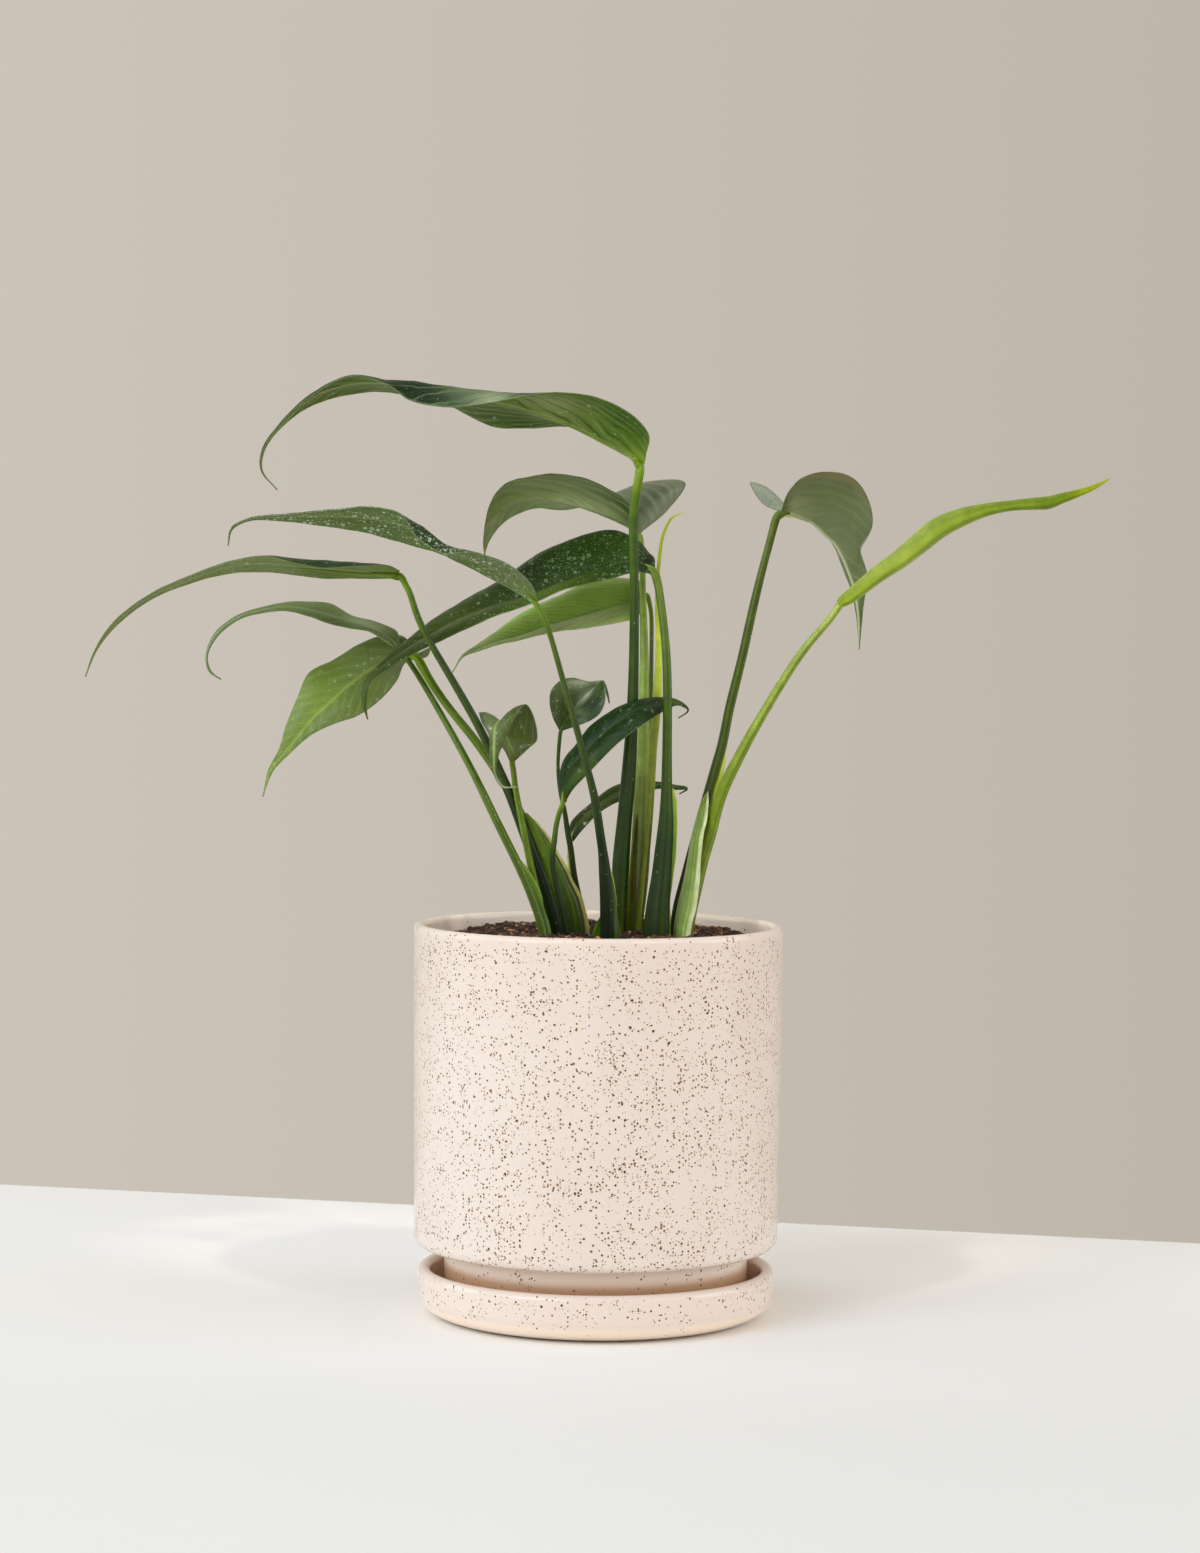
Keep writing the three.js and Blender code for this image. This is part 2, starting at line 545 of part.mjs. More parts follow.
      [[-16.5, -18, 237], [-17.5, -17.5, 237], [-15.5, -18.5, 237]],
      [[-16.5, -19, 243.5], [-18.5, -15, 248.5], [-12, -24, 243]],
      [[-13, -21, 252.5], [-16.5, -15, 256], [-6, -27, 249.5]],
      [[-6.5, -22, 260], [-11.5, -15, 262.5], [0.5, -28, 256.5]],
      [[1, -22, 267.5], [-4.5, -15, 271.5], [8.5, -28, 264.5]],
      [[10, -21, 274.5], [5, -14, 278.5], [15, -27, 269.5]],
      [[18, -17, 279.5], [15, -10, 283], [21.5, -23, 274]],
      [[26, -6.5, 281.5], [24.5, -1.5, 284.5], [27.5, -9.5, 277.5]],
      [[33, -1, 282.5], [33.5, 2, 284], [33.5, -4, 280.5]],
      [[38, 3, 281.5], [38.5, 4, 281.5], [37, 2, 280.5]],
      [[40.5, 5, 278.5], [40.5, 5.5, 278.5], [40, 4.5, 278.5]],
      [[36, 6, 275], [36, 6, 275], [36, 6, 275]],
    ],
    stalk: [
      [-12.5, -14, 153, 1.6, 1.6],
      [-14, -14, 176, 1.6, 1.6],
      [-16.5, -14, 187, 1.4, 1.4],
      [-19, -14, 196.5, 1.4, 1.4],
      [-21, -15, 205.5, 1.3, 1.3],
      [-21.5, -15.5, 212.5, 1.3, 1.3],
      [-20.5, -16, 218.5, 1.3, 1.3],
      [-20, -17, 225, 1.2, 1.2],
      [-18.5, -17.5, 231.5, 1.2, 1.2],
      [-17, -18, 235.5, 1.2, 1.2],
    ],
  },
  strap: {
    colour: 0x3a4f1a,
    blade: [
      [[-13.5, 16, 218], [-14.5, 16.5, 219], [-12, 15.5, 217]],
      [[-10.5, 16, 224], [-13, 21, 226], [-8, 11, 222.5]],
      [[-2.5, 20, 232], [-5, 26, 233.5], [0.5, 13, 231]],
      [[7, 27, 238], [5.5, 33, 241.5], [9, 20, 235.5]],
      [[18, 34, 241.5], [17.5, 39, 244.5], [18.5, 28, 238.5]],
      [[27.5, 37, 242.5], [27.5, 40, 244], [27.5, 34, 241]],
      [[36, 38, 241.5], [36, 40, 242.5], [36, 36, 240.5]],
      [[41, 38, 241], [41, 39, 241.5], [41, 37, 240.5]],
      [[37.5, 38, 238.5], [37.5, 38, 238.5], [37.5, 38, 238.5]],
    ],
    stalk: [
      [-1.5, 17, 150, 1.3, 1.3],
      [-4, 17, 173.5, 1.2, 1.2],
      [-9, 16.5, 187.5, 1.2, 1.2],
      [-12, 16, 196.5, 1.1, 1.1],
      [-13.5, 16, 204.5, 1.1, 1.1],
      [-14, 16, 210.5, 1.1, 1.1],
      [-13.5, 16, 217, 1.1, 1.1],
    ],
  },
  spear: {
    spear: true,
    stalk: [
      [18.5, 4, 151.5, 1.4, 1.4],
      [19, 4, 174.5, 1.4, 1.4],
      [21, 4.5, 200, 1.4, 1.4],
      [23, 5, 223, 1.5, 1.5],
      [24, 5.5, 246, 1.8, 1.8],
      [24.5, 6, 262.5, 2, 2],
      [25.5, 6, 274, 2.3, 2.3],
      [26, 6.5, 284.5, 2.4, 2.4],
      [26.5, 7.5, 294.5, 1.9, 1.9],
      [26.5, 9, 306.5, 1.4, 1.4],
      [26, 11, 320, 1.1, 1.1],
      [25.5, 12.5, 329.5, 0.9, 0.9],
      [26, 14, 338.5, 0.9, 0.9],
      [26.5, 14, 348, 0.9, 0.9],
      [27.5, 14, 357, 0.8, 0.8],
      [29.5, 14, 363, 0.7, 0.7],
      [32, 14, 367.5, 0.6, 0.6],
      [34.5, 14, 369, 0.4, 0.4],
      [37.5, 14, 369.5, 0.2, 0.2],
    ],
  },
};

function vector(point) {
  return new THREE.Vector3(point[0], point[1], point[2]);
}

function smoothCurve(points) {
  return new THREE.CatmullRomCurve3(points, false, 'centripetal');
}

function closedGeometry(positions, triangles) {
  const geometry = new THREE.BufferGeometry();
  geometry.setAttribute('position', new THREE.Float32BufferAttribute(positions, 3));
  geometry.setIndex(triangles);
  return geometry;
}

function quad(triangles, a, b, c, d) {
  triangles.push(a, b, c, a, c, d);
}

// Boolean joins and cuts
function toSolid(geometry) {
  const bare = geometry.clone();
  bare.deleteAttribute('normal');
  bare.deleteAttribute('uv');
  const merged = mergeVertices(bare, 1e-4);
  const vertProperties = new Float32Array(merged.attributes.position.array);
  const triVerts = new Uint32Array(merged.index.array);
  const mesh = new manifoldLibrary.Mesh({ numProp: 3, vertProperties, triVerts });
  return new manifoldLibrary.Manifold(mesh);
}

function toGeometry(solid) {
  const mesh = solid.getMesh();
  return closedGeometry(Array.from(mesh.vertProperties), Array.from(mesh.triVerts));
}

// A round body turned about the Z axis from a list of [radius, height] points
function turned(profile) {
  const points = profile.map(([radius, height]) => new THREE.Vector2(radius, height));
  const geometry = new THREE.LatheGeometry(points, ROUND_SIDES);
  geometry.rotateX(Math.PI / 2);
  return geometry;
}

// Points on a circular arc in the profile plane, angles in quarter turns
function arc(centreRadius, centreHeight, size, startQuarter, endQuarter, steps) {
  const points = [];
  for (let i = 0; i <= steps; i += 1) {
    const angle = (startQuarter + ((endQuarter - startQuarter) * i) / steps) * (Math.PI / 2);
    points.push([centreRadius + size * Math.cos(angle), centreHeight + size * Math.sin(angle)]);
  }
  return points;
}

function saucerGeometry() {
  const lip = SAUCER_WALL / 2;
  const lipCentre = SAUCER_RADIUS - lip;
  const spread = SAUCER_RADIUS - SAUCER_BASE_RADIUS;
  const lower = arc(0, 0, 1, -1, 0, 5).map(([across, up]) => [
    SAUCER_BASE_RADIUS + spread * across,
    SAUCER_SIDE_START * (1 + up),
  ]);
  const cornerRadius = SAUCER_RADIUS - SAUCER_WALL - SAUCER_INNER_CORNER;
  return turned([
    [0, 0],
    ...lower,
    ...arc(lipCentre, SAUCER_HEIGHT - lip, lip, 0, 2, 4),
    ...arc(cornerRadius, SAUCER_FLOOR + SAUCER_INNER_CORNER, SAUCER_INNER_CORNER, 0, -1, 2),
    [0, SAUCER_FLOOR],
  ]);
}

function potInnerRadius(height) {
  const share = (height - POT_BODY_BOTTOM) / (POT_HEIGHT - POT_BODY_BOTTOM);
  return POT_RIM_RADIUS - POT_WALL - POT_TAPER * (1 - share);
}

const footBottom = SAUCER_FLOOR + GAP;
const innerStep = POT_BODY_BOTTOM + POT_FLOOR;
const footInnerRadius = POT_FOOT_RADIUS - POT_FOOT_WALL;
const potFloorTop = footBottom + POT_FLOOR;

function potGeometry() {
  const lip = POT_WALL / 2;
  const lipCentre = POT_RIM_RADIUS - lip;
  const bodyRadius = POT_RIM_RADIUS - POT_TAPER;
  return turned([
    [DRAIN_RADIUS, footBottom],
    ...arc(POT_FOOT_RADIUS - POT_FOOT_CORNER, footBottom + POT_FOOT_CORNER, POT_FOOT_CORNER, -1, 0, 2),
    [POT_FOOT_RADIUS, POT_BODY_BOTTOM],
    ...arc(bodyRadius - POT_CORNER, POT_BODY_BOTTOM + POT_CORNER, POT_CORNER, -1, 0, 4),
    ...arc(lipCentre, POT_HEIGHT - lip, lip, 0, 2, 6),
    [potInnerRadius(innerStep + INNER_SLOPE), innerStep + INNER_SLOPE],
    [footInnerRadius, innerStep],
    [footInnerRadius, potFloorTop],
    [DRAIN_RADIUS, potFloorTop],
    [DRAIN_RADIUS, footBottom],
  ]);
}

// Height of the lumpy soil surface
function soilHeight(x, y) {
  const swell = SOIL_SWELL * Math.sin(x * 0.075 + 0.6) * Math.cos(y * 0.09 - 0.4);
  const lumps = SOIL_LUMP * Math.sin(x * 0.31 + y * 0.17) * Math.cos(y * 0.27 - x * 0.12);
  const drop = SOIL_SIDE_DROP * (x / potInnerRadius(SOIL_LEVEL)) ** 4;
  return SOIL_LEVEL + swell + lumps - drop;
}

function soilGeometry() {
  const bottom = potFloorTop + GAP;
  const rings = [];
  const addRing = (radius, height) => {
    const ring = [];
    for (let k = 0; k < SOIL_SIDES; k += 1) {
      const angle = (k / SOIL_SIDES) * 2 * Math.PI;
      const x = radius * Math.cos(angle);
      const y = radius * Math.sin(angle);
      ring.push([x, y, height === null ? soilHeight(x, y) : height]);
    }
    rings.push(ring);
  };
  // The pot's wall has flat facets, so the soil's corners lie within them
  const facet = Math.cos(Math.PI / ROUND_SIDES);
  const bodyLow = innerStep + INNER_SLOPE + 2 * GAP;
  addRing((footInnerRadius - SOIL_SIDE_GAP) * facet, bottom);
  addRing((footInnerRadius - SOIL_SIDE_GAP) * facet, innerStep + GAP);
  addRing((potInnerRadius(bodyLow) - SOIL_SIDE_GAP) * facet, bodyLow);
  const edge = (potInnerRadius(SOIL_LEVEL) - SOIL_EDGE_GAP) * facet;
  for (let i = SOIL_RINGS; i >= 1; i -= 1) {
    addRing((edge * i) / SOIL_RINGS, null);
  }
  const positions = [0, 0, bottom];
  const triangles = [];
  rings.flat().forEach((point) => positions.push(...point));
  positions.push(0, 0, soilHeight(0, 0));
  const top = 1 + rings.length * SOIL_SIDES;
  const at = (ring, k) => 1 + ring * SOIL_SIDES + (k % SOIL_SIDES);
  for (let k = 0; k < SOIL_SIDES; k += 1) {
    triangles.push(0, at(0, k + 1), at(0, k));
    for (let ring = 0; ring + 1 < rings.length; ring += 1) {
      quad(triangles, at(ring, k), at(ring, k + 1), at(ring + 1, k + 1), at(ring + 1, k));
    }
    triangles.push(top, at(rings.length - 1, k), at(rings.length - 1, k + 1));
  }
  return closedGeometry(positions, triangles);
}

// A closed thin sheet around a grid of points, with the same triangles on both faces.
// over and under give the distance from the grid to the upper and the lower face.
function sheetGeometry(grid, over, under) {
  const rows = grid.length;
  const columns = grid[0].length;
  const positions = [];
  const faces = [over, (i, j) => -under(i, j)];
  faces.forEach((offset) => {
    for (let i = 0; i < rows; i += 1) {
      for (let j = 0; j < columns; j += 1) {
        const before = grid[Math.max(i - 1, 0)][j];
        const after = grid[Math.min(i + 1, rows - 1)][j];
        const left = grid[i][Math.max(j - 1, 0)];
        const right = grid[i][Math.min(j + 1, columns - 1)];
        const forward = after.clone().sub(before);
        const normal = forward.cross(left.clone().sub(right)).normalize();
        const point = grid[i][j].clone().addScaledVector(normal, offset(i, j));
        positions.push(point.x, point.y, point.z);
      }
    }
  });
  const lower = rows * columns;
  const at = (i, j) => i * columns + j;
  const triangles = [];
  for (let i = 0; i + 1 < rows; i += 1) {
    for (let j = 0; j + 1 < columns; j += 1) {
      quad(triangles, at(i, j), at(i, j + 1), at(i + 1, j + 1), at(i + 1, j));
      triangles.push(lower + at(i, j), lower + at(i + 1, j + 1), lower + at(i, j + 1));
      triangles.push(lower + at(i, j), lower + at(i + 1, j), lower + at(i + 1, j + 1));
    }
    quad(triangles, at(i, 0), at(i + 1, 0), lower + at(i + 1, 0), lower + at(i, 0));
    const j = columns - 1;
    quad(triangles, at(i, j), lower + at(i, j), lower + at(i + 1, j), at(i + 1, j));
  }
  for (let j = 0; j + 1 < columns; j += 1) {
    quad(triangles, at(0, j), lower + at(0, j), lower + at(0, j + 1), at(0, j + 1));
    const i = rows - 1;
    quad(triangles, at(i, j), at(i, j + 1), lower + at(i, j + 1), lower + at(i, j));
  }
  return closedGeometry(positions, triangles);
}

// A leaf blade with a midrib that thins towards the tip
function bladeGeometry(stations, baseRadius) {
  const midrib = smoothCurve(stations.map((station) => vector(station[0])));
  const leftEdge = smoothCurve(stations.map((station) => vector(station[1])));
  const rightEdge = smoothCurve(stations.map((station) => vector(station[2])));
  const archAt = (index, side, width) => {
    const low = stations[Math.floor(index)];
    const high = stations[Math.min(Math.floor(index) + 1, stations.length - 1)];
    const share = index - Math.floor(index);
    const given = (station) => station[3 + side] ?? width * ARCH_SHARE;
    return given(low) * (1 - share) + given(high) * share;
  };
  const grid = [];
  const lastRow = ROWS_PER_STATION * (stations.length - 1);
  let sideways = null;
  for (let i = 0; i <= lastRow; i += 1) {
    const share = i / lastRow;
    const index = share * (stations.length - 1);
    const middle = midrib.getPoint(share);
    const ahead = midrib.getPoint(Math.min(share + SHARE_STEP, 1));
    const forward = ahead.sub(midrib.getPoint(Math.max(share - SHARE_STEP, 0))).normalize();
    const edges = [leftEdge.getPoint(share), rightEdge.getPoint(share)];
    const span = edges[0].clone().sub(edges[1]);
    if (span.length() > NARROW_SPAN || sideways === null) {
      sideways = span.clone().normalize();
    }
    const up = forward.clone().cross(sideways).normalize();
    grid.push(ACROSS.map((across) => {
      const side = across < 0 ? 0 : 1;
      const reach = edges[side].clone().sub(middle);
      const width = reach.length();
      if (width < SMALLEST_HALF_WIDTH) {
        reach.copy(sideways).multiplyScalar(side === 0 ? SMALLEST_HALF_WIDTH : -SMALLEST_HALF_WIDTH);
      }
      const outward = Math.abs(across);
      const arch = archAt(index, side, width) * 4 * outward * (1 - outward);
      return middle.clone().addScaledVector(reach, outward).addScaledVector(up, arch);
    }));
  }
  const half = BLADE_THICKNESS / 2;
  const centre = (ACROSS.length - 1) / 2;
  const ribDepth = (i) => {
    const share = i / lastRow;
    return Math.min(RIB_DEPTH, baseRadius) * (1 - share) ** RIB_FADE;
  };
  return sheetGeometry(grid, () => half, (i, j) => half + (j === centre ? ribDepth(i) : 0));
}

// A closed tube through a list of [x, y, z, half width, half depth] rings.
// outline gives the section's points as shares of the two half sizes.
function tubeGeometry(route, outline, grow) {
  const centres = route.map(vector);
  const positions = [];
  const triangles = [];
  const sides = outline.length;
  centres.forEach((centre, i) => {
    const before = centres[Math.max(i - 1, 0)];
    const after = centres[Math.min(i + 1, centres.length - 1)];
    const along = after.clone().sub(before).normalize();
    const depthAxis = new THREE.Vector3(0, 1, 0);
    depthAxis.addScaledVector(along, -depthAxis.dot(along)).normalize();
    const widthAxis = depthAxis.clone().cross(along);
    const [, , , halfWidth, halfDepth] = route[i];
    outline.forEach(([w, d]) => {
      const point = centre.clone();
      point.addScaledVector(widthAxis, w * (halfWidth + grow));
      point.addScaledVector(depthAxis, d * (halfDepth + grow));
      positions.push(point.x, point.y, point.z);
    });
  });
  const at = (ring, k) => ring * sides + (k % sides);
  const last = centres.length - 1;
  for (let k = 0; k < sides; k += 1) {
    for (let ring = 0; ring < last; ring += 1) {
      quad(triangles, at(ring, k), at(ring, k + 1), at(ring + 1, k + 1), at(ring + 1, k));
    }
  }
  for (let k = 1; k + 1 < sides; k += 1) {
    triangles.push(at(0, 0), at(0, k + 1), at(0, k));
    triangles.push(at(last, 0), at(last, k), at(last, k + 1));
  }
  return closedGeometry(positions, triangles);
}

// An oval section
function ovalOutline(sides) {
  const outline = [];
  for (let k = 0; k < sides; k += 1) {
    const angle = ((k + 0.5) / sides) * 2 * Math.PI;
    outline.push([Math.cos(angle), Math.sin(angle)]);
  }
  return outline;
}

// The section of a leaf that is still rolled up: its outer edge stands as a step on the roll
function rolledOutline(sides) {
  const outline = [];
  for (let k = 0; k < sides; k += 1) {
    const share = k / (sides - 1);
    const angle = share * 2 * Math.PI * (1 - ROLL_OPENING / sides) + ROLL_START;
    const size = 1 - ROLL_STEP * (1 - share);
    outline.push([size * Math.cos(angle), size * Math.sin(angle)]);
  }
  return outline;
}

// A sheath's middle bows out to the left and the front, to wrap what it holds
function sheathGeometry(pairs, grow) {
  const grid = pairs.map((pair) => {
    const root = vector(pair[0]);
    const rim = vector(pair[1]);
    const reach = rim.clone().sub(root);
    const across = reach.clone().normalize();
    root.addScaledVector(across, -grow);
    rim.addScaledVector(across, grow);
    const bow = new THREE.Vector3(reach.y, -reach.x, 0).multiplyScalar(SHEATH_BOW);
    const middle = root.clone().lerp(rim, 0.5).add(bow);
    return [root, middle, rim];
  });
  const half = SHEATH_THICKNESS / 2 + grow;
  return sheetGeometry(grid, () => half, () => half);
}

function stalkSolid(shape, grow) {
  let solid = toSolid(tubeGeometry(shape.stalk, ovalOutline(STALK_SIDES), grow));
  (shape.sheaths ?? []).forEach((pairs) => {
    const sheath = toSolid(sheathGeometry(pairs, grow));
    solid = solid.add(sheath);
  });
  return solid;
}

// The buried foot of a stalk with the clearance of its hole in the soil
function holeSolid(shape) {
  const foot = shape.stalk[0];
  const lower = [foot[0], foot[1], foot[2] - 2 * GAP, foot[3], foot[4]];
  const buried = { stalk: [lower, ...shape.stalk.slice(0, 3)] };
  buried.sheaths = (shape.sheaths ?? []).map((pairs) => {
    const [root, rim] = pairs[pairs.length - 1];
    const below = (point) => [point[0], point[1], point[2] - 2 * GAP];
    return [...pairs, [below(root), below(rim)]];
  });
  return stalkSolid(buried, HOLE_GAP);
}

function material(name, colour, roughness) {
  return new THREE.MeshStandardMaterial({ name, color: colour, roughness, metalness: 0 });
}

const glaze = material('speckled_glaze', 0xdacdc2, 0.3);
const earth = material('potting_soil', 0x2c1f18, 0.95);
const stalkGreen = material('stalk_green', 0x4f7a2c, 0.5);

const plant = new THREE.Group();

function addPart(name, geometry, look) {
  const mesh = new THREE.Mesh(geometry, look);
  mesh.name = name;
  plant.add(mesh);
}

addPart('saucer', saucerGeometry(), glaze);
addPart('pot', potGeometry(), glaze);

let soil = toSolid(soilGeometry());
Object.values(shapes).forEach((shape) => {
  soil = soil.subtract(holeSolid(shape));
});
addPart('soil', toGeometry(soil), earth);

Object.entries(shapes).forEach(([name, shape]) => {
  if (shape.spear) {
    addPart(name, tubeGeometry(shape.stalk, rolledOutline(ROLL_SIDES), 0), stalkGreen);
    return;
  }
  addPart(`${name}_stalk`, toGeometry(stalkSolid(shape, 0)), stalkGreen);
  const leafLook = material(`${name}_leaf_green`, shape.colour, 0.45);
  if (shape.rolled) {
    addPart(`${name}_leaf`, tubeGeometry(shape.rolled, rolledOutline(ROLL_SIDES), 0), leafLook);
    return;
  }
  const endRadius = shape.stalk[shape.stalk.length - 1][3];
  addPart(`${name}_leaf`, bladeGeometry(shape.blade, endRadius), leafLook);
});

export default plant;
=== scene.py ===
# A potted Monstera of the Burle Marx Flame kind in a speckled stoneware pot, dressed around the solids.
# Sizes are in millimetres in the part's frame, +Z up, +X right, +Y away from the viewer. Where a list is
# in pixels of the photograph or in metres, its comment says so.
import math

import bpy
import numpy as np
from mathutils import Matrix, Vector, noise


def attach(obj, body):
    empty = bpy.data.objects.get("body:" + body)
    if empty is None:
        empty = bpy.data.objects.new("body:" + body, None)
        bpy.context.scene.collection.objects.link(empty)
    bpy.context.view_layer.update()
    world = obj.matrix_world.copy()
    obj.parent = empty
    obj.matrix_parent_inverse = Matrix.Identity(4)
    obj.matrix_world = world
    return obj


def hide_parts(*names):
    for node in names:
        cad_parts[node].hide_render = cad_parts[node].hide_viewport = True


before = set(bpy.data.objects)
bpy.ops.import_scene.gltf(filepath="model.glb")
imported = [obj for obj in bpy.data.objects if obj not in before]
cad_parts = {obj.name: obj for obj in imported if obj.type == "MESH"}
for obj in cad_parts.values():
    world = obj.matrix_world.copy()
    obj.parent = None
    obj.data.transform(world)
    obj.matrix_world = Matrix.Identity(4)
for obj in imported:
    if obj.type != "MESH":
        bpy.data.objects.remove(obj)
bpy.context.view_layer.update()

MM = 0.001

# Pot, saucer and soil, as in the solids
GAP = 0.3
SAUCER_RADIUS = 82.4
SAUCER_HEIGHT = 22
SAUCER_WALL = 6.2
SAUCER_FLOOR = 4.3
SAUCER_BASE_RADIUS = 67
SAUCER_SIDE_START = 10.4
SAUCER_INNER_CORNER = 4
POT_RIM_RADIUS = 85
POT_HEIGHT = 180
POT_WALL = 5
POT_TAPER = 1
POT_BODY_BOTTOM = 32
POT_CORNER = 4.5
POT_FOOT_RADIUS = 70
POT_FOOT_WALL = 6.5
POT_FOOT_CORNER = 2
POT_FLOOR = 8
INNER_SLOPE = 6
DRAIN_RADIUS = 6
SOIL_LEVEL = 174.6
ROUND_SIDES = 160

# Fine leaves
BLADE_ROWS = 150
BLADE_COLUMNS = 37
BLADE_THICKNESS = 0.55
ARCH_SHARE = 0.12
SMALLEST_HALF_WIDTH = 0.35
NARROW_SPAN = 1
SHEATH_BOW = 0.22
SHEATH_THICKNESS = 0.6
SHEATH_ROWS = 90
SHEATH_COLUMNS = 25
STALK_SIDES = 24
ROLL_SIDES = 48
ROLL_STEP = 0.16
ROLL_START = -1.9
ROLL_OPENING = 0.4

# The camera at the photograph's viewing angle, in millimetres, degrees and pixels of the photograph
CAMERA_DISTANCE = 1640
CAMERA_HEIGHT = 312
CAMERA_PITCH = 2.24
CAMERA_ROLL = 0.53
PHOTO_HEIGHT = 1553
PHOTO_MIDDLE = (600, 776.5)
FOCAL_PIXELS = 3566
SENSOR = 36

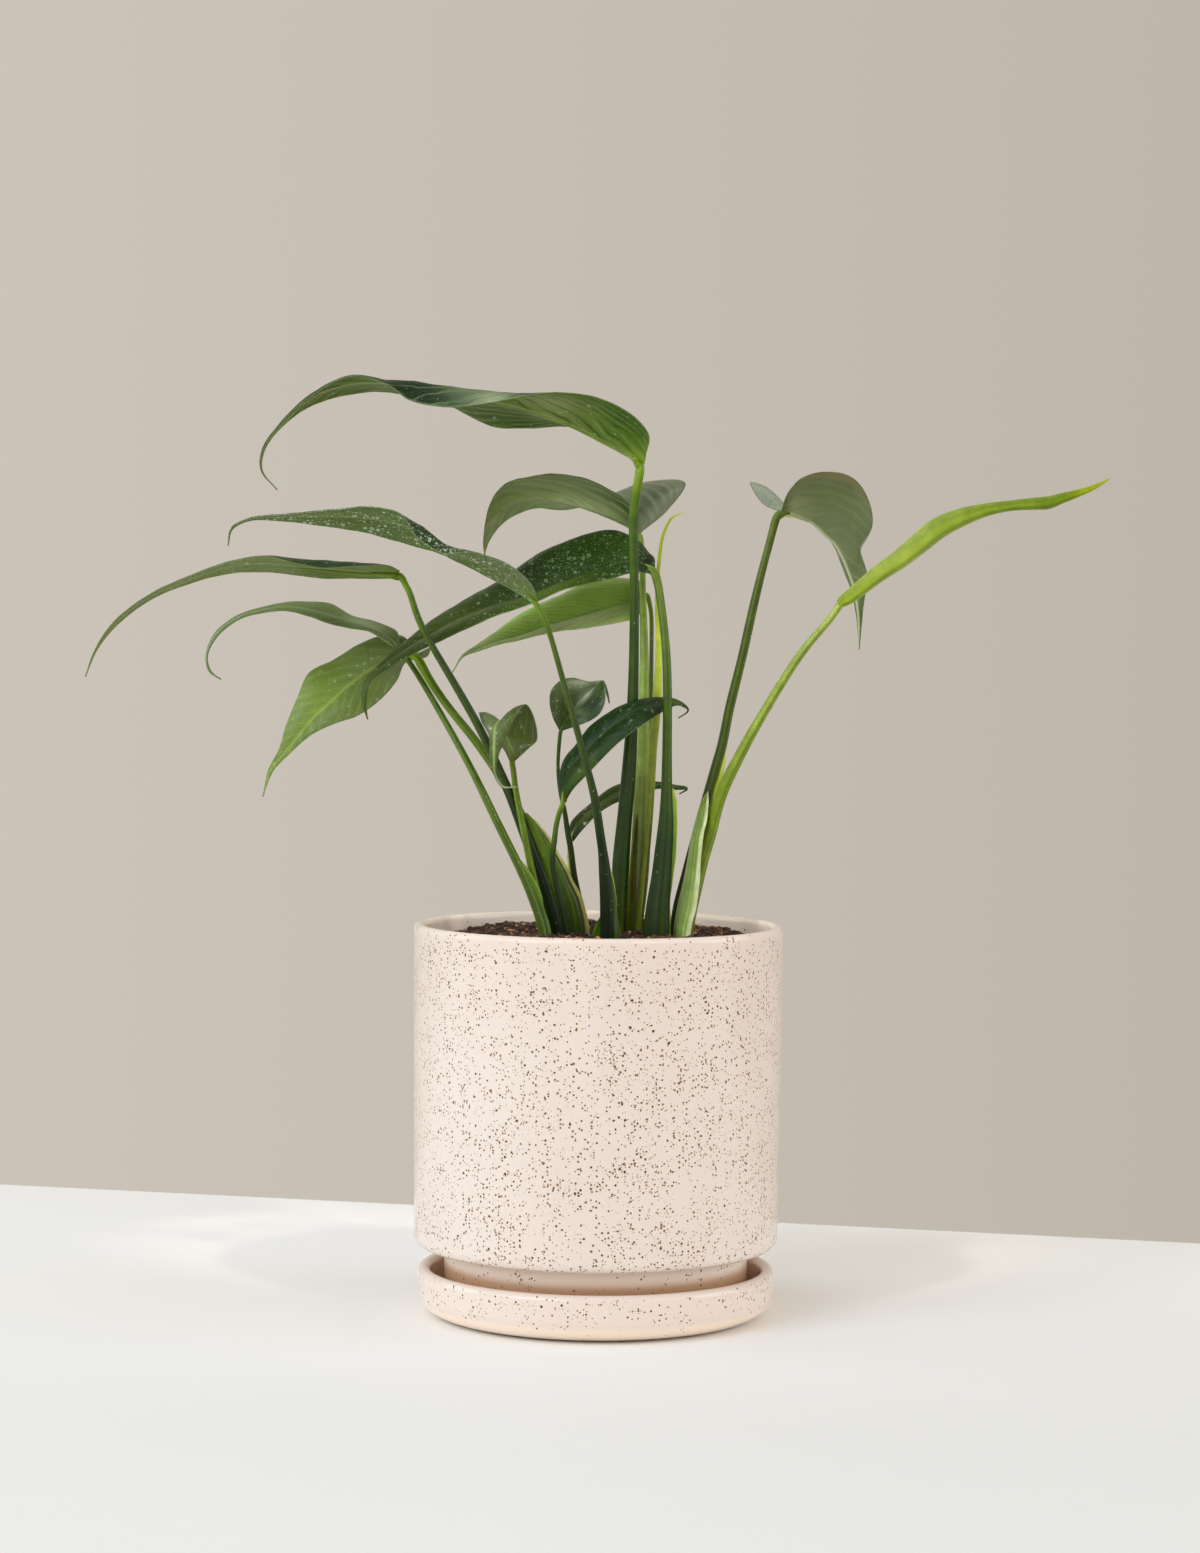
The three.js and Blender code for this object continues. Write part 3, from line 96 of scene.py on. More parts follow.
# The plant as read from the photograph. A point is (pixels across, pixels down, millimetres behind
# the pot's axis). A blade is a list of stations from the stalk to the tip: a point on the midrib, one on
# the left edge and one on the right edge, and where an edge rolls over, the crest heights of the two
# halves in millimetres. Its tip is one point. A stalk or a rolled leaf is a list of rings from the soil
# up: a point, the half width and, where it isn't round, the half depth in pixels. A sheath wing holds a
# point in the stalk and one on the free edge.
PLANT = {
    "tall": {
        "blade": [
            ((640, 466, -14), (644.3, 464, -14.5), (636.2, 466, -13.5)),
            ((635.5, 459, -13.5), (645.6, 454.5, -20), (632.5, 458, -8)),
            ((624, 452, -13), (649, 434, -30), (622, 446, 8)),
            ((600, 440, -12), (627, 411, -34), (600, 432, 12)),
            ((572, 427, -11), (588, 395, -32), (570, 427, 12)),
            ((535, 414, -10), (545, 393, -30), (532, 428.5, 10), 3, 1),
            ((495, 402, -9), (500, 400.5, -27), (493, 426, 9), 4.5, 1),
            ((450, 394, -8), (450, 407, -25), (452, 408, 8), 6, 1),
            ((415, 388, -9), (410, 400.5, -25), (420, 398, 6), 5.6, 1),
            ((385, 383, -11), (386, 384.5, -27), (385, 391.5, 3), 1.5, 0.5),
            ((350, 385, -13), (352, 375.5, -27), (350, 395, 0)),
            ((312, 399, -15), (314, 394, -25), (312, 406, -5)),
            ((284, 423, -17), (284, 420, -23), (284, 425, -11)),
            ((263.5, 450, -18), (262.5, 450, -20), (264.5, 450, -16)),
            ((262, 471, -17), (261.4, 471, -18), (262.6, 471, -16)),
            ((277, 489.5, -15),),
        ],
        "stalk": [
            (616, 985, 4, 8, 6.5), (618, 935, 4, 8, 6.5), (619.5, 895, 3, 8.5, 6.5),
            (621, 860, 2, 8.6, 6.5), (624.3, 820, 0, 7.6, 6), (628.2, 780, -3, 7.4, 5.8),
            (632, 720, -6, 6, 5.4), (634.2, 660, -8, 5), (635, 600, -10, 4.6), (634, 555, -11, 4.6),
            (633, 520, -12, 4.5), (635.5, 495, -13, 4.6), (638.9, 477, -14, 4.5), (640, 468, -14, 4.5),
        ],
    },
    "front": {
        "blade": [
            ((536, 603, -52), (537.5, 602, -53), (534.5, 604, -51)),
            ((520, 584, -55), (530, 583.5, -65), (514, 592, -43)),
            ((498, 570, -58), (509, 566, -72), (491, 579, -43)),
            ((468, 559, -60), (472, 553, -74), (462, 564, -45), 1.5, 1),
            ((440, 547, -61), (443, 553, -73), (436, 552.5, -46), 3, 1),
            ((420, 532, -61), (416, 537, -72), (412, 546, -47), 4, 1),
            ((398, 524, -62), (401, 514, -74), (391, 540, -47), 1.5, 1),
            ((370, 519, -62), (372, 506.5, -75), (365, 533.2, -48)),
            ((330, 517, -62), (332, 510, -72), (326, 527, -51)),
            ((285, 518, -60), (286, 514.6, -66), (284, 521.6, -54)),
            ((250, 520, -58), (250, 518.6, -61), (250, 521.4, -55)),
            ((232, 529, -56), (231, 528, -57.5), (233, 530, -55)),
            ((228.5, 546, -55),),
        ],
        "stalk": [
            (606, 985, -20, 7.5, 6), (607, 935, -20, 7.2, 6), (607, 900, -21, 6.6, 5.5),
            (605, 870, -23, 6, 5), (602.7, 850, -25, 4.6), (599.5, 830, -28, 4.4), (594.8, 800, -32, 4.2),
            (588, 770, -37, 3.6), (576.5, 730, -42, 3.4), (562.8, 680, -46, 3), (551.5, 640, -49, 2.8),
            (544, 618, -51, 2.9), (536.8, 604.6, -52, 2.8),
        ],
        "sheaths": [
            [
                ((605, 866, -23), (609, 866, -23)), ((607, 880, -22), (613, 880, -20)),
                ((608, 892, -21), (615, 890, -18)), ((609, 915, -20), (617.5, 915, -14)),
                ((609, 935, -20), (619, 935, -12)), ((608, 985, -20), (619, 985, -12)),
            ],
            [
                ((604, 913, -20), (601.5, 914, -20)), ((604, 925, -20), (596, 925, -19)),
                ((604, 935, -20), (591.5, 935, -18)), ((604, 985, -20), (590, 985, -18)),
            ],
        ],
    },
    "long": {
        "blade": [
            ((398, 574.8, -30), (399.5, 571, -32), (396.5, 578.8, -28.5)),
            ((382, 573.7, -31), (388, 566.3, -41), (380, 578.5, -21)),
            ((352, 572.5, -32), (356, 566.5, -44), (350, 579, -19), 3, 1),
            ((324, 570, -32), (325, 568, -43), (320, 578, -19), 4, 1),
            ((295, 567, -32), (296, 563.5, -44), (292, 575, -20), 3, 1),
            ((265, 564, -32), (267, 556.5, -44), (262, 572, -21)),
            ((230, 567, -32), (232, 562.5, -42), (228, 573.8, -22)),
            ((190, 580, -32), (190, 576.3, -39), (190, 583.7, -25)),
            ((150, 597.5, -31), (149, 595.5, -35), (151, 599.5, -27)),
            ((115, 624, -30), (113.5, 622.5, -32), (116.5, 625.5, -28)),
            ((96, 651, -29), (95.2, 650.5, -30), (96.8, 651.5, -28)),
            ((85, 676, -28),),
        ],
        "stalk": [
            (561, 985, -4, 8, 5.5), (557, 935, -4, 8, 5.5), (547, 893, -5, 7, 5), (533, 855, -7, 6.2, 4.8),
            (522, 825, -9, 5.6, 4.6), (511, 797, -12, 5, 4.5), (501.4, 775, -14, 4.5, 4.2),
            (485.3, 738, -18, 4.1), (465, 702, -22, 3.9), (441.4, 661, -25, 3.5), (425.2, 634, -27, 3.4),
            (415.8, 612, -29, 3.3), (410, 592, -30, 3.2), (406, 585, -30, 3.2), (402.8, 579.6, -30, 3.3),
            (399.8, 576.2, -30, 3.7),
        ],
        "sheaths": [
            [
                ((522, 812, -10), (528, 813, -9)), ((530, 835, -8), (546, 833, -6)),
                ((539, 858, -7), (561, 857, -4)), ((549, 883, -6), (574.5, 882, -2)),
                ((556, 905, -5), (585, 905, -1)), ((560, 935, -4), (590, 935, -1)),
                ((563, 985, -4), (593, 985, -1)),
            ],
        ],
    },
    "curled": {
        "blade": [
            ((399, 647, 10), (398.5, 649, 9), (399.5, 645, 11)),
            ((388, 640, 10), (389, 641, 0), (396, 630.5, 20)),
            ((372, 630.5, 9), (371, 632, -4), (375, 621.5, 22)),
            ((350, 622.5, 8), (348, 628, -6), (352, 617, 22)),
            ((331, 617, 6), (329, 623.5, -7), (331, 604, 19)),
            ((311, 611.5, 4), (310, 617, -7), (310, 602.3, 16)),
            ((288, 608.5, 2), (288, 611.5, -6), (288, 602.9, 11)),
            ((262, 610.5, 0), (262, 613, -4), (262, 607.3, 6)),
            ((238, 618.5, -1), (239, 620, -3), (237, 616.5, 3)),
            ((216, 636, -2), (217.5, 637, -3), (214.5, 635, 0)),
            ((206.5, 656, -2), (207.5, 656, -2.5), (205.5, 656, -1)),
            ((210, 671.5, -2), (210.7, 671, -2.4), (209.3, 672, -1.6)),
            ((221, 679.5, -2),),
        ],
        "stalk": [
            (548, 985, -24, 4.5), (545, 935, -24, 4.5), (535, 905, -22, 4.5), (522, 873, -19, 4.4),
            (500.3, 828, -15, 4.2), (485.5, 797, -11, 3.9), (469.2, 765, -7, 3.6), (443.8, 719, 0, 3.2),
            (415.7, 671, 7, 2.9), (403.5, 654, 9, 2.7), (401, 650, 10, 2.6),
        ],
        "sheaths": [
            [
                ((515, 856, -18), (519, 858, -18)), ((526, 878, -20), (533, 877, -20)),
                ((536, 900, -22), (542, 896, -21)), ((541, 915, -23), (546, 914, -22)),
                ((546, 935, -24), (551, 935, -23)), ((549, 985, -24), (554, 985, -23)),
            ],
        ],
    },
    "drooping": {
        "blade": [
            ((413, 654, 20), (415, 656, 20), (411, 652, 20)),
            ((408, 654.5, 21), (430, 648, 26), (409, 644, 24)),
            ((400, 657, 20.5), (428, 655.5, 27), (403, 636, 26)),
            ((385, 664, 18), (405, 663, 18), (386, 635, 25)),
            ((367, 673, 15), (397, 681, 13), (358, 644.5, 21)),
            ((348, 687, 12), (380, 700, 9), (333, 660, 17)),
            ((330, 703, 9), (357, 716.5, 6), (309.5, 672.5, 13)),
            ((313, 719, 7), (335, 724, 5), (298.5, 696, 10)),
            ((298, 737, 5), (311, 735, 4), (286.8, 723.5, 8)),
            ((285, 754, 4), (290, 753.5, 3), (278.5, 750.5, 6)),
            ((271, 771, 4), (273.3, 770.3, 3.3), (269, 769.8, 4.7)),
            ((263, 797, 4),),
        ],
        "stalk": [
            (556, 985, 9, 6, 5), (551, 935, 9, 5.5, 4.8), (547, 892, 10, 5, 4.6), (537, 855, 11, 4.8),
            (525, 824, 12, 4.6), (512, 797, 13, 4.5), (491.5, 763, 15, 4.3), (471.4, 735, 16, 4.2),
            (456.8, 717, 17, 4.1), (438.8, 694, 18, 4.1), (427, 675, 19, 4.3), (421.2, 665, 20, 4.7),
            (416.9, 658, 19.9, 4.4),
        ],
    },
    "dark": {
        "blade": [
            ((653, 570.4, 4.5), (650.6, 573.6, 4), (655.6, 567.2, 6)),
            ((648, 566.5, 6), (646, 573, 1.5), (654.3, 558, 14)),
            ((640, 564, 7.5), (639.5, 573, -2), (648.3, 552, 18)),
            ((625, 563, 9), (628, 574, -6), (639, 541, 22)),
            ((600, 571, 8), (603, 581, -12), (610, 530.3, 28)),
            ((566, 583, 5), (566, 589.5, -16), (572, 538.8, 26)),
            ((531, 597, 2), (530, 604.3, -17), (537, 554.5, 23)),
            ((497, 605.5, -1), (498, 615, -18), (501.5, 578.5, 18)),
            ((463, 618, -4), (464, 630, -19), (466.3, 598.7, 13)),
            ((431, 635, -7), (434, 644.5, -20), (432, 620.5, 7)),
            ((405, 651, -10), (409, 656.7, -20), (403.8, 642.5, 0)),
            ((384, 667, -13), (388, 669, -20), (382, 662, -7)),
            ((368, 682.6, -15), (371.2, 682, -18), (364.7, 682.4, -12)),
            ((364, 701.5, -16), (366.4, 700.7, -18), (361.7, 702, -14.5)),
            ((367.7, 720, -16),),
        ],
        "stalk": [
            (656, 985, -8, 12.5, 8), (656, 935, -8, 13.5, 8), (657.5, 905, -8, 11.5, 7.5),
            (661, 880, -8, 10, 7), (664.2, 850, -9, 9, 6.4), (666, 820, -10, 7.4, 6),
            (666.5, 795, -11, 5.7), (667.4, 750, -12, 4.8), (667.5, 700, -12, 4.5), (667, 660, -10, 4.3),
            (664, 625, -6, 4.1), (660.8, 600, -2, 4.2), (658.2, 585, 1.5, 4.2), (656.4, 578, 3.5, 4.3),
            (654.8, 573.6, 4.3, 4.4),
        ],
        "sheaths": [
            [
                ((667, 787, -11), (673, 788, -9)), ((668, 800, -10), (676, 802, -7)),
                ((668, 820, -10), (677.5, 818, -6)), ((668, 840, -9), (676.5, 842, -5)),
                ((667, 865, -9), (674, 865, -5)), ((664, 895, -8), (671, 895, -5)),
                ((660, 935, -8), (670.5, 935, -5)), ((660, 985, -8), (669.5, 985, -5)),
            ],
        ],
    },
    "bright": {
        "blade": [
            ((645, 593, 34), (645, 596, 33), (645, 590, 35)),
            ((636, 600, 33), (637, 617, 22), (640, 581, 44)),
            ((615, 606, 32), (615, 623.5, 17), (617, 577.5, 48)),
            ((585, 616, 30), (585, 628, 13), (588, 583, 46)),
            ((553, 626, 27), (553, 632.3, 11), (555, 597.5, 42)),
            ((523, 637, 24), (522, 639, 11), (524, 612, 37)),
            ((498, 643.7, 21), (499, 645, 12), (496, 632, 29)),
            ((478, 649.5, 19), (479, 650.6, 15), (476, 645.5, 23)),
            ((463, 656.5, 18), (463.8, 657.5, 17), (462, 655.3, 19)),
            ((452.3, 672, 18),),
        ],
        "stalk": [
            (636, 985, 20, 3.6), (638, 935, 20, 3.6), (643, 850, 21, 3.2), (648, 780, 23, 2.8),
            (650.5, 700, 27, 2.4), (651.5, 650, 30, 2.2), (652, 615, 33, 2.2), (650, 603, 34, 2.4),
            (647, 596, 34, 2.6),
        ],
    },
    "rear": {
        "blade": [
            ((640, 534, 30), (639, 532, 29), (641, 532.5, 31)),
            ((633, 529.5, 30), (634, 512, 22), (667, 510, 44)),
            ((623, 523.5, 31), (625, 499.5, 15), (685.5, 482.5, 54)),
            ((608, 517, 32), (606, 487.5, 10), (650, 481.5, 60)),
            ((590, 510.5, 33), (584, 478.5, 8), (608, 499, 58)),
            ((565, 503.5, 34), (556, 474.2, 9), (567, 510, 52)),
            ((535, 499.5, 34), (527, 477.5, 12), (536, 508.7, 50)),
            ((510, 505, 33), (503, 485, 18), (513, 516.5, 43)),
            ((495, 522, 32), (490, 505, 25), (499, 527, 37)),
            ((487, 541, 31), (483.5, 540, 29), (489, 542, 33)),
            ((484, 556, 31),),
        ],
        "stalk": [
            (630, 985, 12, 7, 5), (632.7, 935, 12, 8.7, 5), (637, 895, 12, 10.2, 5), (640, 860, 12, 10, 5),
            (641.5, 820, 12, 9, 5), (642.7, 780, 12, 7.8, 5), (643.2, 740, 13, 6.6, 5),
            (644, 690, 15, 5.2, 4.5), (644, 640, 19, 4, 3.8), (643, 590, 25, 3.2), (642.5, 560, 28, 2.7),
            (640.5, 537, 30, 2.6),
        ],
        "sheaths": [
            [
                ((637, 815, 8), (636, 815, 7)), ((637, 840, 8.5), (632.5, 840, 6)),
                ((636, 870, 8.5), (629.5, 870, 5.5)), ((635, 905, 8.5), (627, 905, 5)),
                ((633.5, 935, 8.5), (624.5, 935, 5)), ((633, 985, 8.5), (623.5, 985, 5)),
            ],
        ],
    },
    "right": {
        "blade": [
            ((779, 513, 18), (777.5, 511, 19), (781, 511, 17)),
            ((782, 512.5, 18), (762, 503.5, 26), (782.5, 507, 14)),
            ((785, 512.8, 18), (750.3, 483, 32), (784, 500, 10)),
            ((788, 513.4, 18), (751.8, 482.6, 32.3), (786.5, 494.5, 8)),
            ((792, 514.6, 18), (777, 504.3, 35), (791.5, 487.5, 4)),
            ((798, 516.8, 18), (793, 508, 37), (801, 479, 0)),
            ((811, 524, 18), (811, 522, 38), (827, 471.2, -5)),
            ((823, 534, 17), (824, 533, 34), (852, 477.5, -5)),
            ((834, 545, 16), (834, 547, 30), (868.7, 500.3, -2)),
            ((842, 558, 15), (840.5, 561, 26), (872.3, 527, 2)),
            ((848, 573, 14), (846, 576, 22), (860.5, 547, 7)),
            ((853, 590, 13), (852, 592, 18), (867, 575, 8)),
            ((858, 615, 12), (856.3, 616, 14), (863.5, 605, 9.5)),
            ((859, 649, 12),),
        ],
        "stalk": [
            (676, 985, 7, 5, 4.5), (674, 935, 7, 5.5, 4.5), (678.5, 905, 7, 5.8, 4.6),
            (685.8, 882, 7, 6, 4.8), (692.6, 855, 7, 6, 5), (699, 832, 8, 6, 5), (704.5, 810, 8, 5.8, 5),
            (711.5, 785, 9, 5.6, 5), (717, 765, 9, 5.4, 5), (722, 745, 10, 5, 4.8), (727, 720, 10, 4.7),
            (731.5, 700, 11, 4.7), (740, 665, 12, 4.6), (746, 640, 13, 4.6), (755, 600, 14, 4.3),
            (764.5, 560, 16, 3.9), (770.3, 540, 17, 3.8), (775, 522, 18, 4), (776.6, 517, 18, 4.1),
        ],
        "sheaths": [
            [
                ((726, 720, 10.5), (729.5, 721, 10.5)), ((720, 745, 10), (727, 743, 9.5)),
                ((714, 770, 9.5), (724.5, 770, 9)), ((708, 795, 9), (721, 792, 8.5)),
                ((703, 815, 9), (715, 815, 8.5)), ((697, 840, 8.5), (707, 840, 8)),
                ((690, 868, 8), (697, 868, 8)),
            ],
            [
                ((711, 790, 8), (708.5, 792, 5)), ((705, 800, 7), (709, 803, -3)),
                ((700, 820, 7), (707, 822, -8)), ((696, 838, 7), (703.5, 838, -9)),
                ((691, 860, 6), (701, 860, -9.5)), ((684, 886, 6), (699, 884, -9.5)),
                ((679, 906, 6), (697, 905, -9.5)), ((675, 935, 6), (690.5, 935, -9.5)),
                ((675, 985, 6), (690, 985, -9.5)),
            ],
        ],
    },
    "new": {
        "rolled": [
            (839.8, 604.5, -27, 4.2), (843, 601.3, -27, 6.2), (850, 596.7, -28, 7.5), (862, 587, -29, 8.3),
            (880, 572.5, -30, 9.4), (900, 559.5, -31, 10.4), (920, 543.5, -32, 11.6), (938, 529, -33, 12),
            (958, 519.5, -33.5, 10.5), (985, 510.5, -34, 7), (1010, 506.5, -34.5, 5.6),
            (1035, 504.5, -35, 6.6), (1048, 503, -35, 7.2), (1062, 498.5, -35.5, 5.8),
            (1085, 490.5, -36, 3.6), (1100, 484.5, -36, 2.2), (1111.5, 478, -36, 0.5),
        ],
        "stalk": [
            (686, 985, -2, 6), (686, 935, -2, 6), (692.7, 905, -2, 6), (698.3, 880, -2, 6),
            (704, 855, -2, 6), (710, 835, -2, 6.1), (715.5, 815, -3, 6.1), (721, 795, -4, 6.1),
            (729.7, 775, -6, 5.8), (738.8, 757, -8, 5.5), (747.2, 741, -12, 5.2), (758, 722, -14, 4.9),
            (770.8, 700, -17, 4.7), (799, 657, -22, 4.2), (814.8, 637, -24, 3.9), (829.4, 620, -26, 3.8),
            (838.3, 607.5, -27, 3.9),
        ],
    },
    "cupped": {
        "blade": [
            ((512.6, 761, -15), (515.6, 760.5, -15), (509.6, 760.5, -15)),
            ((509, 747, -13), (530, 747, -9), (503, 749, -8)),
            ((505.5, 737, -13), (537.3, 740, -8), (493, 738, -4)),
            ((503, 727, -15), (533.5, 716, -13), (485, 725, -5)),
            ((500, 722, -19), (525.5, 704.5, -19), (479, 713, -12)),
            ((496, 729, -24), (517, 715, -25), (481.5, 722, -20)),
            ((494, 742, -26), (508, 734, -27), (488.7, 735, -24)),
            ((494, 757, -26.5), (498, 757, -27), (489.7, 757, -26)),
            ((495, 772, -26), (496.5, 771, -26.5), (493, 773, -25.5)),
            ((502, 786.5, -25), (502.5, 785.5, -25), (501.5, 787.5, -25)),
            ((516, 787, -22),),
        ],
        "stalk": [
            (547, 985, -15, 4), (546, 935, -15, 4), (539, 900, -15, 4), (531.5, 868, -15, 3.8),
            (526.5, 843, -15, 3.6), (521, 815, -15, 3.3), (517, 795, -15, 3), (514.7, 780, -15, 2.8),
            (513.3, 770, -15, 2.8), (512.8, 765, -15, 2.8),
        ],
    },
    "round": {
        "blade": [
            ((561, 730, 2), (559.5, 730, 2), (563, 730, 2)),
            ((565, 722, 3), (553, 717, 0), (577, 726, -2)),
            ((571, 713, 5), (549.3, 703, -1), (592, 720, -5)),
            ((578, 704, 6), (551, 691, 0), (601, 712, -7)),
            ((585, 697, 6), (560, 681.5, 2), (605, 702, -7)),
            ((592, 690, 6), (573, 678.5, 5), (605.5, 690, -5)),
            ((599, 684, 6), (589, 682, 7), (604, 682, -1)),
            ((604, 684, 7), (602.5, 681, 8), (605, 685, 5)),
            ((607, 694, 8.5), (606.2, 694, 9), (607.8, 694, 8)),
            ((609.5, 703.5, 9),),
        ],
        "stalk": [
            (592, 985, 9, 3.5), (588, 935, 9, 3.5), (583, 915, 9, 3.5), (578, 895, 9, 3.3),
            (574.5, 878, 8, 3.2), (572, 860, 7, 3.1), (570, 845, 6, 3), (567.5, 830, 5, 2.8),
            (564.5, 812, 4, 2.4), (561, 795, 3, 2.1), (559, 780, 2.5, 1.9), (558, 765, 2, 1.8),
            (559, 745, 2, 1.9), (560.7, 731.9, 2, 2),
        ],
    },
    "middle": {
        "blade": [
            ((563.5, 802, -18), (561.5, 801.5, -17.5), (565.5, 802, -18.5)),
            ((564, 787, -19), (559, 776, -15), (573, 789, -24)),
            ((572, 768, -21), (564, 760, -15), (587, 775, -27)),
            ((586, 751, -22), (575, 745, -15), (601, 760, -28)),
            ((603, 735, -22), (591, 726, -15), (619, 742.5, -28)),
            ((622, 720, -21), (612, 711, -14), (634, 731.5, -27)),
            ((640, 709, -17), (634, 701, -10), (648, 721, -23)),
            ((657, 704, -6.5), (654, 697.5, -1.5), (661, 713.5, -9.5)),
            ((673, 702, -1), (673, 698.5, 2), (674, 706.5, -4)),
            ((683, 704.5, 3), (684.5, 703.5, 4), (681.5, 706, 2)),
            ((688, 711, 5), (688.5, 711, 5.5), (687.2, 711, 4.5)),
            ((678, 718, 6),),
        ],
        "stalk": [
            (571, 985, -14, 3.6), (567.5, 935, -14, 3.6), (563, 910, -14, 3.1), (557.5, 890, -14, 3),
            (553, 870, -15, 2.8), (552.5, 855, -15.5, 2.9), (554, 842, -16, 2.8), (556, 828, -17, 2.6),
            (559.5, 814, -17.5, 2.6), (562.8, 805, -18, 2.7),
        ],
    },
    "strap": {
        "blade": [
            ((570.6, 839, 16), (568, 836.5, 16.5), (573.4, 841, 15.5)),
            ((577, 826, 16), (571.8, 821.3, 21), (582, 829.6, 11)),
            ((594, 808.6, 20), (588.8, 804.8, 26), (600.5, 812.2, 13)),
            ((615, 795, 27), (612, 787, 33), (619, 802, 20)),
            ((638, 787.5, 34), (637, 780.5, 39), (639, 794, 28)),
            ((658, 785.5, 37), (658, 781.7, 40), (658, 789.3, 34)),
            ((676, 787, 38), (676, 784.7, 40), (676, 789.5, 36)),
            ((687, 789, 38), (687, 788, 39), (687, 790, 37)),
            ((679, 793.5, 38),),
        ],
        "stalk": [
            (595, 985, 17, 2.8), (590, 935, 17, 2.6), (579, 905, 16.5, 2.5), (573, 885, 16, 2.4),
            (570, 868, 16, 2.3), (569.5, 855, 16, 2.3), (570.5, 841, 16, 2.4),
        ],
    },
    "spear": {
        "stalk": [
            (638, 985, 4, 3), (640, 935, 4, 3), (645, 880, 4.5, 3), (649, 830, 5, 3.3),
            (651.5, 780, 5.5, 3.8), (653.5, 745, 6, 4.4), (656, 720, 6, 5), (657.3, 697, 6.5, 5.3),
            (658, 675, 7.5, 4.2), (658.8, 650, 9, 3), (658, 620, 11, 2.3), (657, 600, 12.5, 2),
            (657.6, 580, 14, 1.9), (659.3, 560, 14, 1.9), (662, 540, 14, 1.8), (665.8, 527, 14, 1.6),
            (671, 518, 14, 1.3), (677, 514, 14, 0.9), (684, 513, 14, 0.5),
        ],
    },
}


def placed(across, down, away):
    """Where a pixel's line of sight lies at a distance behind the pot's axis, to half millimetres."""
    tilt = math.radians(CAMERA_PITCH)
    turn = math.radians(CAMERA_ROLL)
    x, y = across - PHOTO_MIDDLE[0], down - PHOTO_MIDDLE[1]
    right = math.cos(turn) * x + math.sin(turn) * y
    low = math.cos(turn) * y - math.sin(turn) * x
    forward = FOCAL_PIXELS * math.cos(tilt) - low * math.sin(tilt)
    upward = -FOCAL_PIXELS * math.sin(tilt) - low * math.cos(tilt)
    reach = (away + CAMERA_DISTANCE) / forward
    place = (right * reach, forward * reach - CAMERA_DISTANCE, upward * reach + CAMERA_HEIGHT)
    return tuple(round(value * 2) / 2 for value in place)


def placed_ring(across, down, away, half_width, half_depth=None):
    """A tube ring's middle, half width and half depth, the last two to tenths of a millimetre."""
    scale = (away + CAMERA_DISTANCE) / FOCAL_PIXELS
    halves = (half_width, half_width if half_depth is None else half_depth)
    return placed(across, down, away) + tuple(round(half * scale * 10) / 10 for half in halves)


def placed_shape(shape):
    """An entry of the plant with its points and rings in millimetres."""
    wings = shape.get("sheaths", [])
    made = {"sheaths": [[(placed(*root), placed(*edge)) for root, edge in wing] for wing in wings]}
    for part in ("stalk", "rolled"):
        if part in shape:
            made[part] = [placed_ring(*ring) for ring in shape[part]]
    if "blade" in shape:
        made["blade"] = []
        for station in shape["blade"]:
            rails = station[:3] if len(station) > 1 else station * 3
            made["blade"].append(tuple(placed(*point) for point in rails) + tuple(station[3:]))
    return made


def spline(points, count):
    """A centripetal Catmull-Rom curve through points, sampled evenly in station numbers."""
    known = np.array(points, dtype=float)
    known = np.vstack([2 * known[0] - known[1], known, 2 * known[-1] - known[-2]])
    last = len(points) - 1
    made = np.zeros((count, 3))
    for row, place in enumerate(np.linspace(0, last, count)):
        start = min(int(place), last - 1)
        weight = place - start
        a, b, c, d = known[start:start + 4]
        before = max(np.linalg.norm(b - a), 1e-8) ** 0.5
        within = max(np.linalg.norm(c - b), 1e-8) ** 0.5
        after = max(np.linalg.norm(d - c), 1e-8) ** 0.5
        if within < 0.01:
            within = 1.0
        before = within if before < 0.01 else before
        after = within if after < 0.01 else after
        slope_b = ((b - a) / before - (c - a) / (before + within) + (c - b) / within) * within
        slope_c = ((c - b) / within - (d - b) / (within + after) + (d - c) / after) * within
        square, cube = weight ** 2, weight ** 3
        made[row] = (
            (2 * cube - 3 * square + 1) * b + (cube - 2 * square + weight) * slope_b
            + (3 * square - 2 * cube) * c + (cube - square) * slope_c
        )
    return made


def unit(vectors):
    size = np.linalg.norm(vectors, axis=-1, keepdims=True)
    return vectors / np.maximum(size, 1e-9)


def arc_lengths(points):
    steps = np.linalg.norm(np.diff(points, axis=0), axis=1)
    return np.concatenate([[0], np.cumsum(steps)])


def linear(red, green, blue):
    """A colour given as 0 to 255 screen values, as the renderer's linear values."""
    def one(value):
        value /= 255
        return value / 12.92 if value <= 0.04045 else ((value + 0.055) / 1.055) ** 2.4
    return (one(red), one(green), one(blue), 1.0)


# The pale sheen that the lights add to a leaf, and the least that a channel keeps, as linear values
SHEEN = (0.016, 0.019, 0.028)
DARKEST = 0.003


def skin(tone, gain=1.0):
    """A surface colour from how it looks on screen, less the pale sheen; a gain may differ by channel."""
    gains = gain if isinstance(gain, tuple) else (gain, gain, gain)
    parts = zip(linear(*tone), gains, SHEEN)
    return tuple(max(part * share - sheen, DARKEST) for part, share, sheen in parts)


